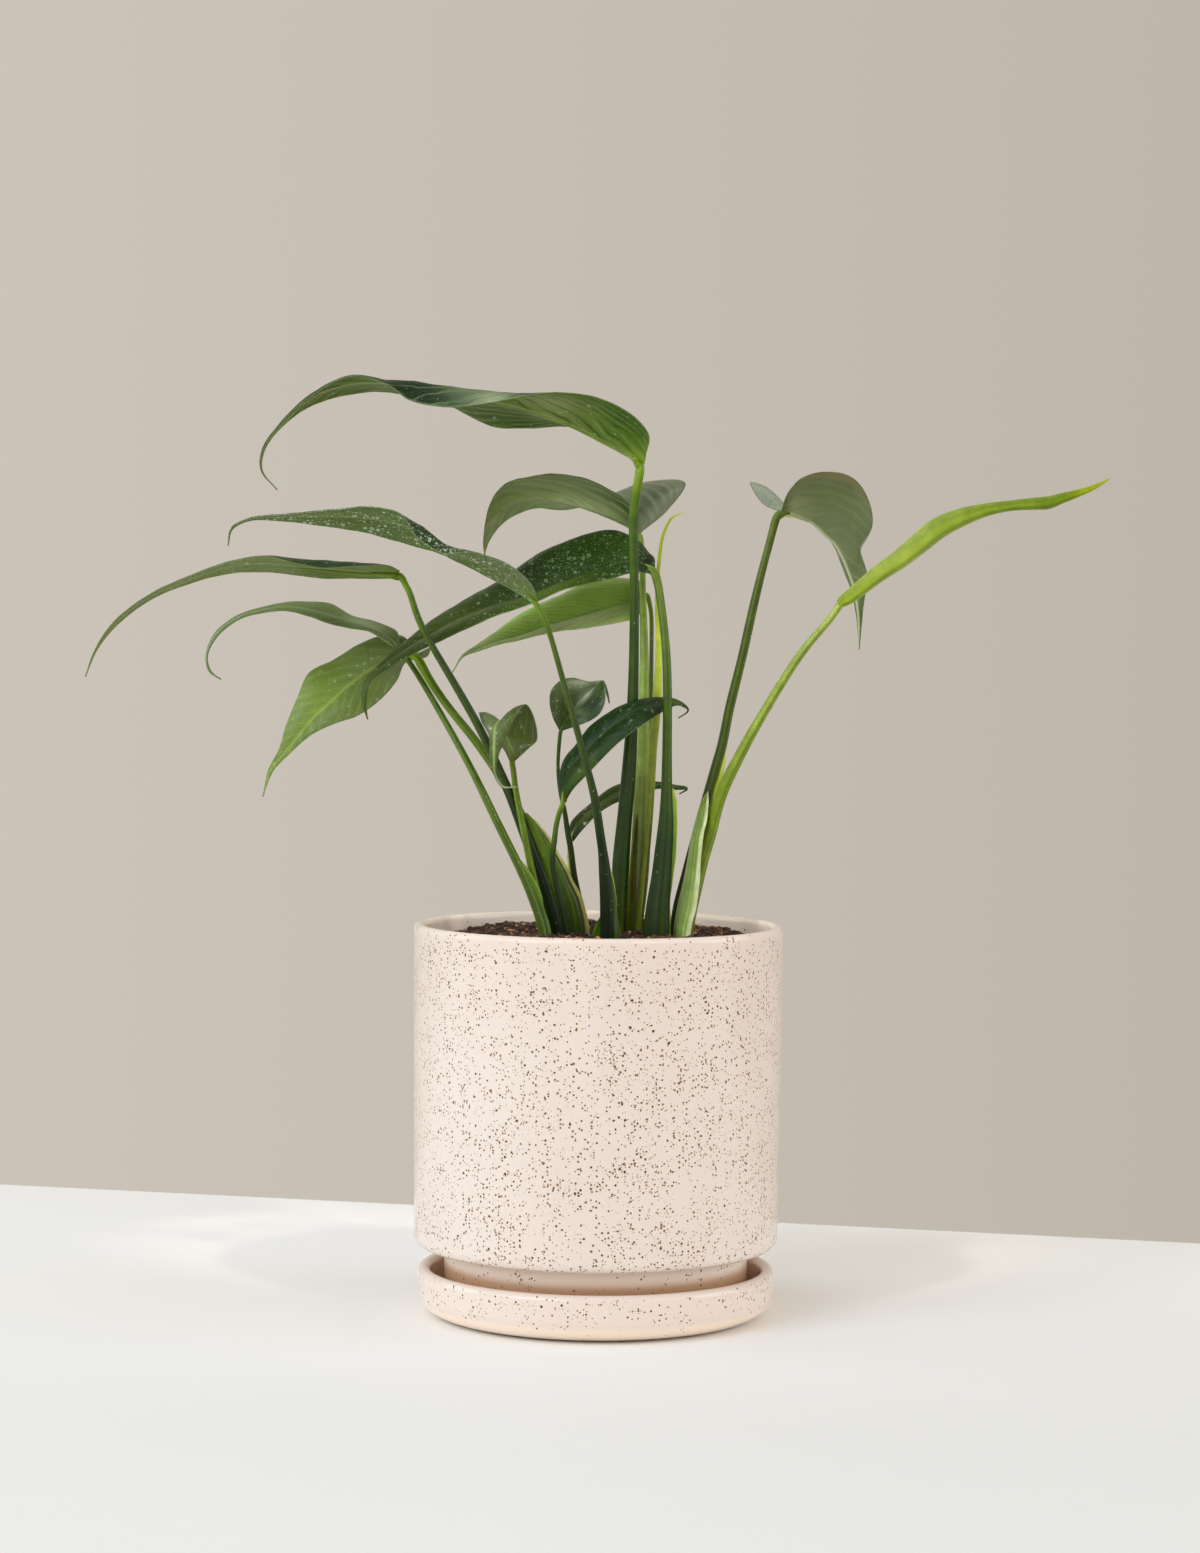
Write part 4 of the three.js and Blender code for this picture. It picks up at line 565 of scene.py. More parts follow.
class Builder:
    """Collects points, faces, tints and surface coordinates of one piece in millimetres."""

    def __init__(self):
        self.points = []
        self.faces = []
        self.slots = []
        self.tints = []
        self.places = []
        self.count = 0

    def add(self, points, faces, tints=None, places=None, slot=0):
        points = np.asarray(points, dtype=float).reshape(-1, 3)
        amount = len(points)
        if tints is None:
            tints = np.tile((0.5, 0.5, 0.5), (amount, 1))
        if places is None:
            places = np.zeros((amount, 3))
        self.points.append(points)
        self.tints.append(np.asarray(tints, dtype=float).reshape(-1, 3))
        self.places.append(np.asarray(places, dtype=float).reshape(-1, 3))
        self.faces.extend([tuple(self.count + corner for corner in face) for face in faces])
        self.slots.extend([slot] * len(faces))
        self.count += amount

    def make(self, name, materials):
        mesh = bpy.data.meshes.new(name)
        mesh.from_pydata((np.vstack(self.points) * MM).tolist(), [], self.faces)
        tints = np.vstack(self.tints)
        colours = mesh.color_attributes.new("tint", "FLOAT_COLOR", "POINT")
        colours.data.foreach_set("color", np.hstack([tints, np.ones((len(tints), 1))]).ravel())
        places = mesh.attributes.new("place", "FLOAT_VECTOR", "POINT")
        places.data.foreach_set("vector", np.vstack(self.places).ravel())
        for material in materials:
            mesh.materials.append(material)
        mesh.polygons.foreach_set("material_index", self.slots)
        mesh.polygons.foreach_set("use_smooth", [True] * len(self.faces))
        mesh.validate()
        piece = bpy.data.objects.new(name, mesh)
        bpy.context.scene.collection.objects.link(piece)
        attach(piece, "root")
        return piece


def grid_faces(rows, columns, closed=False, flip=False):
    faces = []
    for row in range(rows - 1):
        for column in range(columns if closed else columns - 1):
            a = row * columns + column
            b = row * columns + (column + 1) % columns
            face = (a, b, b + columns, a + columns)
            faces.append(face[::-1] if flip else face)
    return faces


def sheet_normals(grid):
    forward = np.gradient(grid, axis=0)
    sideways = -np.gradient(grid, axis=1)
    return unit(np.cross(forward, sideways))


def add_sheet(build, grid, over, under, tints, places, slots=(0, 0)):
    """Adds a closed thin sheet around a grid; tints and places hold the upper and the lower values."""
    rows, columns = grid.shape[:2]
    normals = sheet_normals(grid)
    upper = grid + normals * over[..., None]
    lower = grid - normals * under[..., None]
    flat = rows * columns
    build.add(upper, grid_faces(rows, columns), tints[0], places[0], slots[0])
    build.add(lower, grid_faces(rows, columns, flip=True), tints[1], places[1], slots[1])
    first = build.count - 2 * flat
    edge = [row * columns for row in range(rows)]
    edge += [(rows - 1) * columns + column for column in range(1, columns)]
    edge += [row * columns + columns - 1 for row in range(rows - 2, -1, -1)]
    edge += list(range(columns - 2, 0, -1))
    for here, there in zip(edge, edge[1:] + edge[:1]):
        build.faces.append((first + here, first + there, first + flat + there, first + flat + here))
        build.slots.append(slots[1])


def turned(name, profile, materials):
    """A round body turned about Z from a closed list of (radius, height) points."""
    build = Builder()
    angles = np.linspace(0, 2 * math.pi, ROUND_SIDES, endpoint=False)
    rings = []
    for radius, height in profile:
        ring = [radius * np.cos(angles), radius * np.sin(angles), np.full(ROUND_SIDES, height)]
        rings.append(np.stack(ring, axis=1))
    faces = []
    for row in range(len(profile)):
        here, there = row * ROUND_SIDES, (row + 1) % len(profile) * ROUND_SIDES
        for column in range(ROUND_SIDES):
            following = (column + 1) % ROUND_SIDES
            faces.append((here + column, here + following, there + following, there + column))
    build.add(np.array(rings), faces)
    return build.make(name, materials)


def arc(centre_radius, centre_height, size, start_quarter, end_quarter, steps):
    """Points on a circular arc in the profile plane, angles in quarter turns."""
    points = []
    for step in range(steps + 1):
        angle = (start_quarter + (end_quarter - start_quarter) * step / steps) * math.pi / 2
        points.append((centre_radius + size * math.cos(angle), centre_height + size * math.sin(angle)))
    return points


def line(start, end, steps):
    """Points between two profile points, without the two ends."""
    start, way = np.array(start), np.array(end) - np.array(start)
    return [tuple(start + way * step / steps) for step in range(1, steps)]


class Shader:
    """A node material with short calls for the nodes that are used often."""

    def __init__(self, name):
        self.material = bpy.data.materials.new(name)
        self.material.use_nodes = True
        self.tree = self.material.node_tree
        self.tree.nodes.clear()
        output = self.tree.nodes.new("ShaderNodeOutputMaterial")
        self.surface = self.tree.nodes.new("ShaderNodeBsdfPrincipled")
        self.tree.links.new(self.surface.outputs[0], output.inputs[0])

    def node(self, kind, inputs, **settings):
        made = self.tree.nodes.new("ShaderNode" + kind)
        for name, value in settings.items():
            setattr(made, name, value)
        for name, value in inputs.items():
            self.feed(made.inputs[name], value)
        return made

    def feed(self, socket, value):
        if isinstance(value, bpy.types.NodeSocket):
            self.tree.links.new(value, socket)
        else:
            socket.default_value = value

    def math(self, operation, first, second=0.0, third=None):
        inputs = {0: first, 1: second}
        if third is not None:
            inputs[2] = third
        return self.node("Math", inputs, operation=operation).outputs[0]

    def plus(self, first, second):
        return self.math("ADD", first, second)

    def minus(self, first, second):
        return self.math("SUBTRACT", first, second)

    def times(self, first, second):
        return self.math("MULTIPLY", first, second)

    def scaled(self, value, gain, offset):
        return self.math("MULTIPLY_ADD", value, gain, offset)

    def below(self, first, second):
        return self.math("LESS_THAN", first, second)

    def rest(self, value):
        """What is left of 1."""
        return self.math("SUBTRACT", 1.0, value)

    def darkened(self, colour, tone):
        """A colour multiplied by a screen tone."""
        return self.mix(1.0, colour, linear(*tone), "MULTIPLY")

    def mix(self, factor, first, second, blend="MIX"):
        made = self.node("Mix", {0: factor, 6: first, 7: second}, data_type="RGBA", blend_type=blend)
        return made.outputs[2]

    def step(self, value, low, high):
        """0 below low, 1 above high and smooth between."""
        inputs = {"Value": value, "From Min": low, "From Max": high}
        return self.node("MapRange", inputs, interpolation_type="SMOOTHSTEP").outputs[0]

    def noise(self, vector, scale, detail=2.0, roughness=0.5, distortion=0.0):
        inputs = {"Vector": vector, "Scale": scale, "Detail": detail}
        inputs.update(Roughness=roughness, Distortion=distortion)
        return self.node("TexNoise", inputs)

    def cells(self, vector, scale, feature="F1"):
        return self.node("TexVoronoi", {"Vector": vector, "Scale": scale}, feature=feature)

    def millimetres(self):
        """The place in the part's frame in millimetres."""
        place = self.node("TexCoord", {}).outputs["Object"]
        return self.node("VectorMath", {0: place, "Scale": 1 / MM}, operation="SCALE").outputs[0]

    def parts(self, vector):
        return self.node("SeparateXYZ", {0: vector}).outputs

    def polar(self, place):
        """Distance from the pot's axis and height, in millimetres."""
        x, y, level = self.parts(place)
        flat = self.node("CombineXYZ", {0: x, 1: y, 2: 0.0}).outputs[0]
        return self.node("VectorMath", {0: flat}, operation="LENGTH").outputs["Value"], level

    def attribute(self, name, output):
        return self.node("Attribute", {}, attribute_name=name).outputs[output]

    def bump(self, height, distance, strength=1.0):
        """Relief: height runs from 0 to 1 and distance is its size in millimetres."""
        made = self.node("Bump", {"Height": height, "Distance": distance * MM, "Strength": strength})
        self.tree.links.new(made.outputs[0], self.surface.inputs["Normal"])

    def set(self, **values):
        for name, value in values.items():
            self.feed(self.surface.inputs[name.replace("_", " ")], value)


# Speckle layers: cells per millimetre, dot size within its cell, share of cells with a dot
SPECKLE_LAYERS = ((0.74, 0.36, 0.4), (0.42, 0.25, 0.26), (1.2, 0.32, 0.13))
SPECKLE_RIM_TONES = ((214, 156, 48), (156, 104, 22))
SPECKLE_HEART_TONES = ((58, 36, 6), (140, 92, 16))
SPECKLE_CROWDING = 0.9
# Zones of the glaze: levels above the table and distances from the axis, in millimetres
# The upper pot is painted darker towards the rim: painted shade.
UPPER_SHADE_TONE = (212, 196, 184)
UPPER_LEVELS = (100.0, 185.0)
UPPER_SHARE = 0.58
# The pot's inner wall is painted lighter and warmer: painted light.
INSIDE_LIGHT_TONE = (255, 236, 219)
INSIDE_RADII = (80.4, 82.4)
INSIDE_LEVELS = (60.0, 70.0)
# The foot: its own tan, darker at the bottom as painted shade and lighter at its top as a painted highlight.
FOOT_AND_SHADE_TONE = (197, 154, 116)
PAINTED_LIGHT_TONE = (255, 234, 214)
FOOT_LEVELS = (22.0, 27.0)
# The saucer's lower corner is painted lighter: painted light against its shadow.
CORNER_LEVELS = (5.0, 9.0)
CORNER_RADIUS = 68.0
RIM_LEVELS = (174.0, 177.5)
GLAZE_ROUGHNESS = 0.16


def bent_place(shader, place):
    """The place pushed about a little, so that speckles melt into uneven outlines."""
    wobble = shader.noise(place, 1.6, 2.0).outputs[1]
    push = shader.node("VectorMath", {0: wobble, 1: (0.5, 0.5, 0.5)}, operation="SUBTRACT").outputs[0]
    push = shader.node("VectorMath", {0: push, "Scale": 0.7}, operation="SCALE").outputs[0]
    return shader.node("VectorMath", {0: place, 1: push}, operation="ADD").outputs[0]


def glaze_zones(shader, colour, radius, level, foot_zone):
    """The glaze's tone: painted shade in the upper pot, painted light on its inner wall, the tan foot with
    painted shade below and a painted highlight above, and painted light at the saucer's lower corner.
    """
    # Painted shade: the upper pot darker towards the rim.
    upper = shader.times(shader.step(level, *UPPER_LEVELS), UPPER_SHARE)
    colour = shader.mix(upper, colour, linear(*UPPER_SHADE_TONE))
    # The foot's tan runs from painted shade at the bottom to a painted highlight at the top.
    foot_shade_and_light = shader.mix(shader.step(level, *FOOT_LEVELS), linear(*FOOT_AND_SHADE_TONE), linear(*PAINTED_LIGHT_TONE))
    foot = shader.rest(shader.step(level, *foot_zone[:2]))
    foot = shader.times(foot, shader.below(radius, foot_zone[2]))
    colour = shader.mix(foot, colour, foot_shade_and_light)
    # Painted light: the inner wall lighter and warmer.
    inside = shader.rest(shader.step(radius, *INSIDE_RADII))
    inner_wall = shader.times(inside, shader.step(level, *INSIDE_LEVELS))
    colour = shader.mix(inner_wall, colour, linear(*INSIDE_LIGHT_TONE))
    # Painted light: the saucer's lower corner lighter.
    corner = shader.rest(shader.step(level, *CORNER_LEVELS))
    corner = shader.times(corner, shader.below(CORNER_RADIUS, radius))
    return shader.mix(corner, colour, linear(*PAINTED_LIGHT_TONE)), inside


def glaze(name, tones, speckle_share, foot_zone):
    """Cream glaze with melted iron speckles: dark hearts in golden-brown rims."""
    shader = Shader(name)
    place = shader.millimetres()
    drift = shader.noise(place, 0.03, 3.0).outputs[0]
    colour = shader.mix(drift, linear(*tones[0]), linear(*tones[1]))
    bent = bent_place(shader, place)
    crowd = shader.noise(place, 0.09, 2.0).outputs[0]
    radius, level = shader.polar(place)
    colour, inside_pot = glaze_zones(shader, colour, radius, level, foot_zone)
    height = 0.0
    for scale, size, share in SPECKLE_LAYERS:
        dots = shader.cells(bent, scale)
        luck = shader.parts(dots.outputs["Color"])
        limit = shader.scaled(crowd, SPECKLE_CROWDING, share * speckle_share - SPECKLE_CROWDING / 2)
        limit = shader.minus(limit, shader.times(inside_pot, 0.3))
        limit = shader.minus(limit, shader.times(shader.step(level, *RIM_LEVELS), 0.25))
        kept = shader.below(luck[0], limit)
        reach = shader.scaled(luck[1], size * 0.55, size * 0.62)
        within = shader.minus(reach, dots.outputs["Distance"])
        rim = shader.times(shader.step(within, 0.0, size * 0.06), kept)
        heart = shader.times(shader.step(within, size * 0.08, size * 0.16), kept)
        golden = shader.mix(luck[2], *(linear(*tone) for tone in SPECKLE_RIM_TONES))
        dark = shader.mix(shader.step(luck[2], 0.5, 0.9), *(linear(*tone) for tone in SPECKLE_HEART_TONES))
        colour = shader.mix(shader.times(rim, 0.9), colour, golden)
        colour = shader.mix(heart, colour, dark)
        height = shader.math("MAXIMUM", rim, height)
    relief = shader.minus(shader.noise(place, 0.35, 2.0).outputs[0], shader.times(height, 0.35))
    shader.set(Base_Color=colour, Roughness=shader.scaled(height, 0.3, GLAZE_ROUGHNESS))
    shader.bump(relief, 0.05, 0.4)
    return shader.material


def soil_look(name, dark, light, scale):
    """Potting mix: grain and fibres over the tint of the bed or the chip."""
    shader = Shader(name)
    place = shader.millimetres()
    grain = shader.noise(place, scale, 4.0, 0.65).outputs[0]
    fibre = shader.noise(place, scale * 3.1, 2.0, 0.6, 1.5).outputs[0]
    tint = shader.attribute("tint", "Color")
    colour = shader.mix(shader.step(grain, 0.35, 0.7), linear(*dark), linear(*light))
    colour = shader.mix(0.92, colour, tint, "MULTIPLY")
    shader.set(Base_Color=colour, Roughness=shader.scaled(grain, 0.3, 0.65))
    shader.bump(shader.plus(grain, fibre), 0.5, 0.9)
    return shader.material


# Two tones that the glaze drifts between, and its foot zone of tan, painted shade and a painted highlight:
# the levels over which it fades, its largest radius
POT_TONES = ((232, 215, 203), (236, 221, 210))
POT_FOOT_ZONE = (18.0, 36.0, 76.0)
SAUCER_TONES = ((234, 215, 201), (237, 221, 209))
# In the saucer the foot zone paints its inside dark tan: painted shade between the pot's foot and the lip.
SAUCER_FOOT_ZONE = (3.0, 21.0, 77.5)
SAUCER_SPECKLES = 0.55
SAUCER_CENTRE = 0.6


def build_pot():
    foot_bottom = SAUCER_FLOOR + GAP
    floor_top = foot_bottom + POT_FLOOR
    inner_step = POT_BODY_BOTTOM + POT_FLOOR
    foot_inner = POT_FOOT_RADIUS - POT_FOOT_WALL
    lip = POT_WALL / 2
    lip_centre = POT_RIM_RADIUS - lip
    body_radius = POT_RIM_RADIUS - POT_TAPER
    slope = inner_step + INNER_SLOPE
    inner_low = POT_RIM_RADIUS - POT_WALL - POT_TAPER
    corner = POT_FOOT_CORNER
    profile = [(DRAIN_RADIUS, foot_bottom)]
    profile += line((DRAIN_RADIUS, foot_bottom), (POT_FOOT_RADIUS - corner, foot_bottom), 8)
    profile += arc(POT_FOOT_RADIUS - corner, foot_bottom + corner, corner, -1, 0, 6)
    profile += line((POT_FOOT_RADIUS, foot_bottom + corner), (POT_FOOT_RADIUS, POT_BODY_BOTTOM), 6)
    profile += [(POT_FOOT_RADIUS, POT_BODY_BOTTOM)]
    profile += arc(body_radius - POT_CORNER, POT_BODY_BOTTOM + POT_CORNER, POT_CORNER, -1, 0, 10)
    profile += line((body_radius, POT_BODY_BOTTOM + POT_CORNER), (POT_RIM_RADIUS, POT_HEIGHT - lip), 40)
    profile += arc(lip_centre, POT_HEIGHT - lip, lip, 0, 2, 14)
    profile += line((lip_centre - lip, POT_HEIGHT - lip), (inner_low, slope), 24)
    profile += [(inner_low, slope), (foot_inner, inner_step), (foot_inner, floor_top)]
    profile += [(DRAIN_RADIUS, floor_top)]
    pot = turned("pot_body", profile, [glaze("pot_glaze", POT_TONES, 1.0, POT_FOOT_ZONE)])
    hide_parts("pot")


def build_saucer():
    lip = SAUCER_WALL / 2
    lip_centre = SAUCER_RADIUS - lip
    spread = SAUCER_RADIUS - SAUCER_BASE_RADIUS
    corner_radius = SAUCER_RADIUS - SAUCER_WALL - SAUCER_INNER_CORNER
    profile = [(SAUCER_CENTRE, 0)]
    profile += line((SAUCER_CENTRE, 0), (SAUCER_BASE_RADIUS, 0), 10)
    for across, up in arc(0, 0, 1, -1, 0, 18):
        profile += [(SAUCER_BASE_RADIUS + spread * across, SAUCER_SIDE_START * (1 + up))]
    profile += line((SAUCER_RADIUS, SAUCER_SIDE_START), (SAUCER_RADIUS, SAUCER_HEIGHT - lip), 5)
    profile += arc(lip_centre, SAUCER_HEIGHT - lip, lip, 0, 2, 16)
    profile += arc(corner_radius, SAUCER_FLOOR + SAUCER_INNER_CORNER, SAUCER_INNER_CORNER, 0, -1, 8)
    profile += line((corner_radius, SAUCER_FLOOR), (SAUCER_CENTRE, SAUCER_FLOOR), 10)
    profile += [(SAUCER_CENTRE, SAUCER_FLOOR)]
    look = glaze("saucer_glaze", SAUCER_TONES, SAUCER_SPECKLES, SAUCER_FOOT_ZONE)
    dish = turned("saucer_dish", profile, [look])
    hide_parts("saucer")


SOIL_EDGE = 78.9
SOIL_EDGE_LEVEL = 60.0
SOIL_SHOULDER = 78.0
SOIL_FOOT_GAP = 0.6
SOIL_CENTRE = 0.05
SOIL_SIDE_DROP = 5
SOIL_DROP_RADIUS = 79.7
SOIL_RINGS = 60
SOIL_SIDES = 168
SOIL_SEED = 11
BED_TINT = (0.75, 0.7, 0.66)
# Dark and light tone as screen values, and the size of the grain
BED_LOOK = ((18, 12, 9), (66, 47, 34), 0.7)
BITS_LOOK = ((84, 64, 50), (176, 140, 110), 0.9)
# Loose bits: the half sizes of the largest chip, how far its corners stray, tones, how often each comes
CHIP_COUNT = 3600
CHIP_SIZE = (1.9, 1.05, 0.7)
CHIP_RAGGED = 0.35
CHIP_TONES = ((0.08, 0.065, 0.055), (0.34, 0.23, 0.16), (1.8, 1.4, 1.05), (0.16, 0.11, 0.085))
CHIP_SHARES = (0.46, 0.18, 0.14, 0.22)
BLOCK_CORNERS = np.array([
    (-1, -1, -1), (1, -1, -1), (1, 1, -1), (-1, 1, -1), (-1, -1, 1), (1, -1, 1), (1, 1, 1), (-1, 1, 1),
])
BLOCK_SIDES = [(0, 3, 2, 1), (4, 5, 6, 7), (0, 1, 5, 4), (1, 2, 6, 5), (2, 3, 7, 6), (3, 0, 4, 7)]
FIBRE_COUNT = 700
FIBRE_TONE = (1.3, 0.85, 0.5)
FIBRE_POINTS = 5


def soil_height(x, y):
    swell = 0.9 * math.sin(x * 0.075 + 0.6) * math.cos(y * 0.09 - 0.4)
    lumps = 0.7 * math.sin(x * 0.31 + y * 0.17) * math.cos(y * 0.27 - x * 0.12)
    drop = SOIL_SIDE_DROP * (x / SOIL_DROP_RADIUS) ** 4
    rough = 0.9 * noise.fractal(Vector((x * 0.35, y * 0.35, 0.0)), 0.7, 2.0, 3)
    return SOIL_LEVEL + swell + lumps - drop + rough


def build_soil_bed():
    """The mix itself: a rough top, and sides that stay inside the solid pot."""
    build = Builder()
    angles = np.linspace(0, 2 * math.pi, SOIL_SIDES, endpoint=False)
    points = []
    for ring in range(SOIL_RINGS + 1):
        radius = max(SOIL_EDGE * ring / SOIL_RINGS, SOIL_CENTRE)
        for angle in angles:
            x, y = radius * math.cos(angle), radius * math.sin(angle)
            points.append((x, y, soil_height(x, y)))
    foot_inner = POT_FOOT_RADIUS - POT_FOOT_WALL - SOIL_FOOT_GAP
    inner_step = POT_BODY_BOTTOM + POT_FLOOR
    bottom = SAUCER_FLOOR + POT_FLOOR + 2 * GAP
    skirt = [(SOIL_EDGE - 0.4, SOIL_EDGE_LEVEL), (SOIL_SHOULDER, inner_step + INNER_SLOPE + 1)]
    skirt += [(foot_inner, inner_step), (foot_inner, bottom), (SOIL_CENTRE, bottom)]
    for radius, height in skirt:
        points += [(radius * math.cos(angle), radius * math.sin(angle), height) for angle in angles]
    rows = SOIL_RINGS + 1 + len(skirt)
    tints = np.tile(BED_TINT, (len(points), 1))
    build.add(points, grid_faces(rows, SOIL_SIDES, closed=True, flip=True), tints)
    bed = build.make("soil_bed", [soil_look("soil_bed_look", *BED_LOOK)])
    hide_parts("soil")


def add_chip(chips, draws):
    """One ragged chip of bark, drawn by chance."""
    radius = SOIL_EDGE * math.sqrt(draws.random()) - 2.5
    angle = draws.random() * 2 * math.pi
    x, y = radius * math.cos(angle), radius * math.sin(angle)
    size = draws.uniform(0.45, 1.0) ** 2.4 * np.array(CHIP_SIZE)
    block = BLOCK_CORNERS * size * (1 + draws.uniform(-CHIP_RAGGED, CHIP_RAGGED, (8, 3)))
    turn = Matrix.Rotation(draws.uniform(0, 6.28), 3, "Z")
    turn = turn @ Matrix.Rotation(draws.uniform(-0.7, 0.7), 3, "X")
    place = np.array([x, y, soil_height(x, y) + draws.uniform(-0.3, 0.6)])
    tone = np.array(CHIP_TONES)[draws.choice(4, p=CHIP_SHARES)] * draws.uniform(0.7, 1.3)
    chips.add(block @ np.array(turn) + place, BLOCK_SIDES, np.tile(tone, (8, 1)))


def add_fibre(chips, draws):
    """One thin bent fibre that lies on the mix, drawn by chance."""
    radius = (SOIL_EDGE - 5) * math.sqrt(draws.random())
    angle = draws.random() * 2 * math.pi
    x, y = radius * math.cos(angle), radius * math.sin(angle)
    heading = draws.random() * 2 * math.pi
    length = draws.uniform(2, 6)
    bend = draws.uniform(-0.8, 0.8)
    thick = np.full(FIBRE_POINTS, draws.uniform(0.1, 0.2))
    centres = []
    for share in np.linspace(-0.5, 0.5, FIBRE_POINTS):
        way = heading + bend * share
        px, py = x + length * share * math.cos(way), y + length * share * math.sin(way)
        lift = 1.2 * (1 - 4 * share * share) * draws.uniform(0.2, 1)
        centres.append((px, py, soil_height(px, py) + 0.4 + lift))
    tone = np.array(FIBRE_TONE) * draws.uniform(0.25, 1.1)
    add_tube(chips, np.array(centres), thick, thick, 5, lambda share, around: tone)


def build_soil():
    build_soil_bed()
    draws = np.random.default_rng(SOIL_SEED)
    chips = Builder()
    for _ in range(CHIP_COUNT):
        add_chip(chips, draws)
    for _ in range(FIBRE_COUNT):
        add_fibre(chips, draws)
    bits = chips.make("soil_bits", [soil_look("soil_bits_look", *BITS_LOOK)])


def oval(sides):
    angles = np.linspace(0, 2 * math.pi, sides, endpoint=False)
    return np.stack([np.cos(angles), np.sin(angles)], axis=1)


def rolled_outline(sides):
    share = np.linspace(0, 1, sides)
    angle = share * 2 * math.pi * (1 - ROLL_OPENING / 14) + ROLL_START
    size = 1 - ROLL_STEP * (1 - share)
    return np.stack([size * np.cos(angle), size * np.sin(angle)], axis=1)


def add_tube(build, centres, widths, depths, sides, tint, outline=None, slot=0):
    """Adds a closed tube whose depth axis leans towards Y; tint(share, angle share) gives its colour."""
    section = oval(sides) if outline is None else outline
    along = unit(np.gradient(centres, axis=0))
    depth_axis = np.tile((0.0, 1.0, 0.0), (len(centres), 1))
    depth_axis = unit(depth_axis - along * np.sum(depth_axis * along, axis=1, keepdims=True))
    width_axis = np.cross(depth_axis, along)
    ring = (
        centres[:, None]
        + width_axis[:, None] * section[None, :, 0:1] * widths[:, None, None]
        + depth_axis[:, None] * section[None, :, 1:2] * depths[:, None, None]
    )
    rows = len(centres)
    run = arc_lengths(centres)
    shares = np.linspace(0, 1, rows)
    tints = np.array([[tint(share, k / sides) for k in range(sides)] for share in shares])
    places = np.zeros((rows, sides, 3))
    places[..., 0] = run[:, None]
    turn = np.linspace(0, 2 * math.pi, sides, endpoint=False)
    places[..., 1] = np.mean(widths) * np.cos(turn)[None]
    places[..., 2] = np.mean(widths) * np.sin(turn)[None]
    faces = grid_faces(rows, sides, closed=True)
    faces.append(tuple(range(sides))[::-1])
    faces.append(tuple((rows - 1) * sides + k for k in range(sides)))
    build.add(ring, faces, tints.reshape(-1, 3), places, slot)


def blade_grid(stations, rows, columns):
    """The middle surface of a blade: rows from stalk to tip, columns from the left edge to the right."""
    middle = spline([station[0] for station in stations], rows)
    edges = [spline([station[side] for station in stations], rows) for side in (1, 2)]
    forward = unit(np.gradient(middle, axis=0))
    across = np.linspace(-1, 1, columns)
    index = np.linspace(0, len(stations) - 1, rows)
    given = [[station[2 + side] if len(station) > 3 else None for station in stations] for side in (1, 2)]
    grid = np.zeros((rows, columns, 3))
    sideways = None
    widths = np.zeros((rows, 2))
    for row in range(rows):
        span = edges[0][row] - edges[1][row]
        if np.linalg.norm(span) > NARROW_SPAN or sideways is None:
            sideways = unit(span)
        up = unit(np.cross(forward[row], sideways))
        for side in (0, 1):
            reach = edges[side][row] - middle[row]
            width = np.linalg.norm(reach)
            widths[row, side] = width
            if width < SMALLEST_HALF_WIDTH:
                reach = sideways * (SMALLEST_HALF_WIDTH if side == 0 else -SMALLEST_HALF_WIDTH)
            low = int(index[row])
            high = min(low + 1, len(stations) - 1)
            share = index[row] - low
            crest = [width * ARCH_SHARE if given[side][k] is None else given[side][k] for k in (low, high)]
            crest = crest[0] * (1 - share) + crest[1] * share
            half = across < 0 if side == 0 else across >= 0
            outward = np.abs(across[half])[:, None]
            grid[row, half] = middle[row] + reach * outward + up * crest * 4 * outward * (1 - outward)
    return grid, middle, widths, index, across


def painted(index, across, base, patches, gain=1.0):
    """A colour for each grid point: the base with soft oval patches over it, partly the leaf's own blotches
    and partly painted highlights and shade.
    """
    colour = np.tile(np.array(skin(base, gain)), (len(index), len(across), 1))
    for station, side, along, wide, tone in patches:
        far = ((index[:, None] - station) / along) ** 2 + ((across[None] - side) / wide) ** 2
        weight = np.exp(-far)[..., None]
        colour = colour * (1 - weight) + np.array(skin(tone, gain)) * weight
    return colour


# Tones that darken or lighten a surface, as screen values
CLOUD_TONE = (228, 230, 224)
# Painted shade in the troughs between the side veins.
TROUGH_SHADE_TONE = (168, 172, 160)
RIB_TONE = (150, 175, 95)
# Pale specks: partly mineral spots, partly painted highlights of water drops.
SPECK_AND_GLINT_TONE = (150, 172, 140)
FIBRE_GLOW = (255, 255, 225)
BLOTCH_TONE = (226, 230, 214)
STREAK_TONE = (160, 170, 130)
PORE_TONE = (160, 180, 130)
# How side veins curve away from the midrib and how far they wander, cells of the fine net per millimetre,
# where the midrib's pale line fades in millimetres, and where the lighter edge starts
VEIN_CURVE = 1.08
VEIN_WANDER = 1.1
NET_SCALE = 0.55
RIB_LINE = (0.35, 1.5)
EDGE_START = 0.955
# Pale specks, partly mineral spots, partly painted drop highlights: cells per millimetre, size within the
# cell, share
SPECK_LAYERS = ((0.3, 0.34, 0.75), (0.55, 0.34, 0.8), (1.0, 0.34, 0.9))


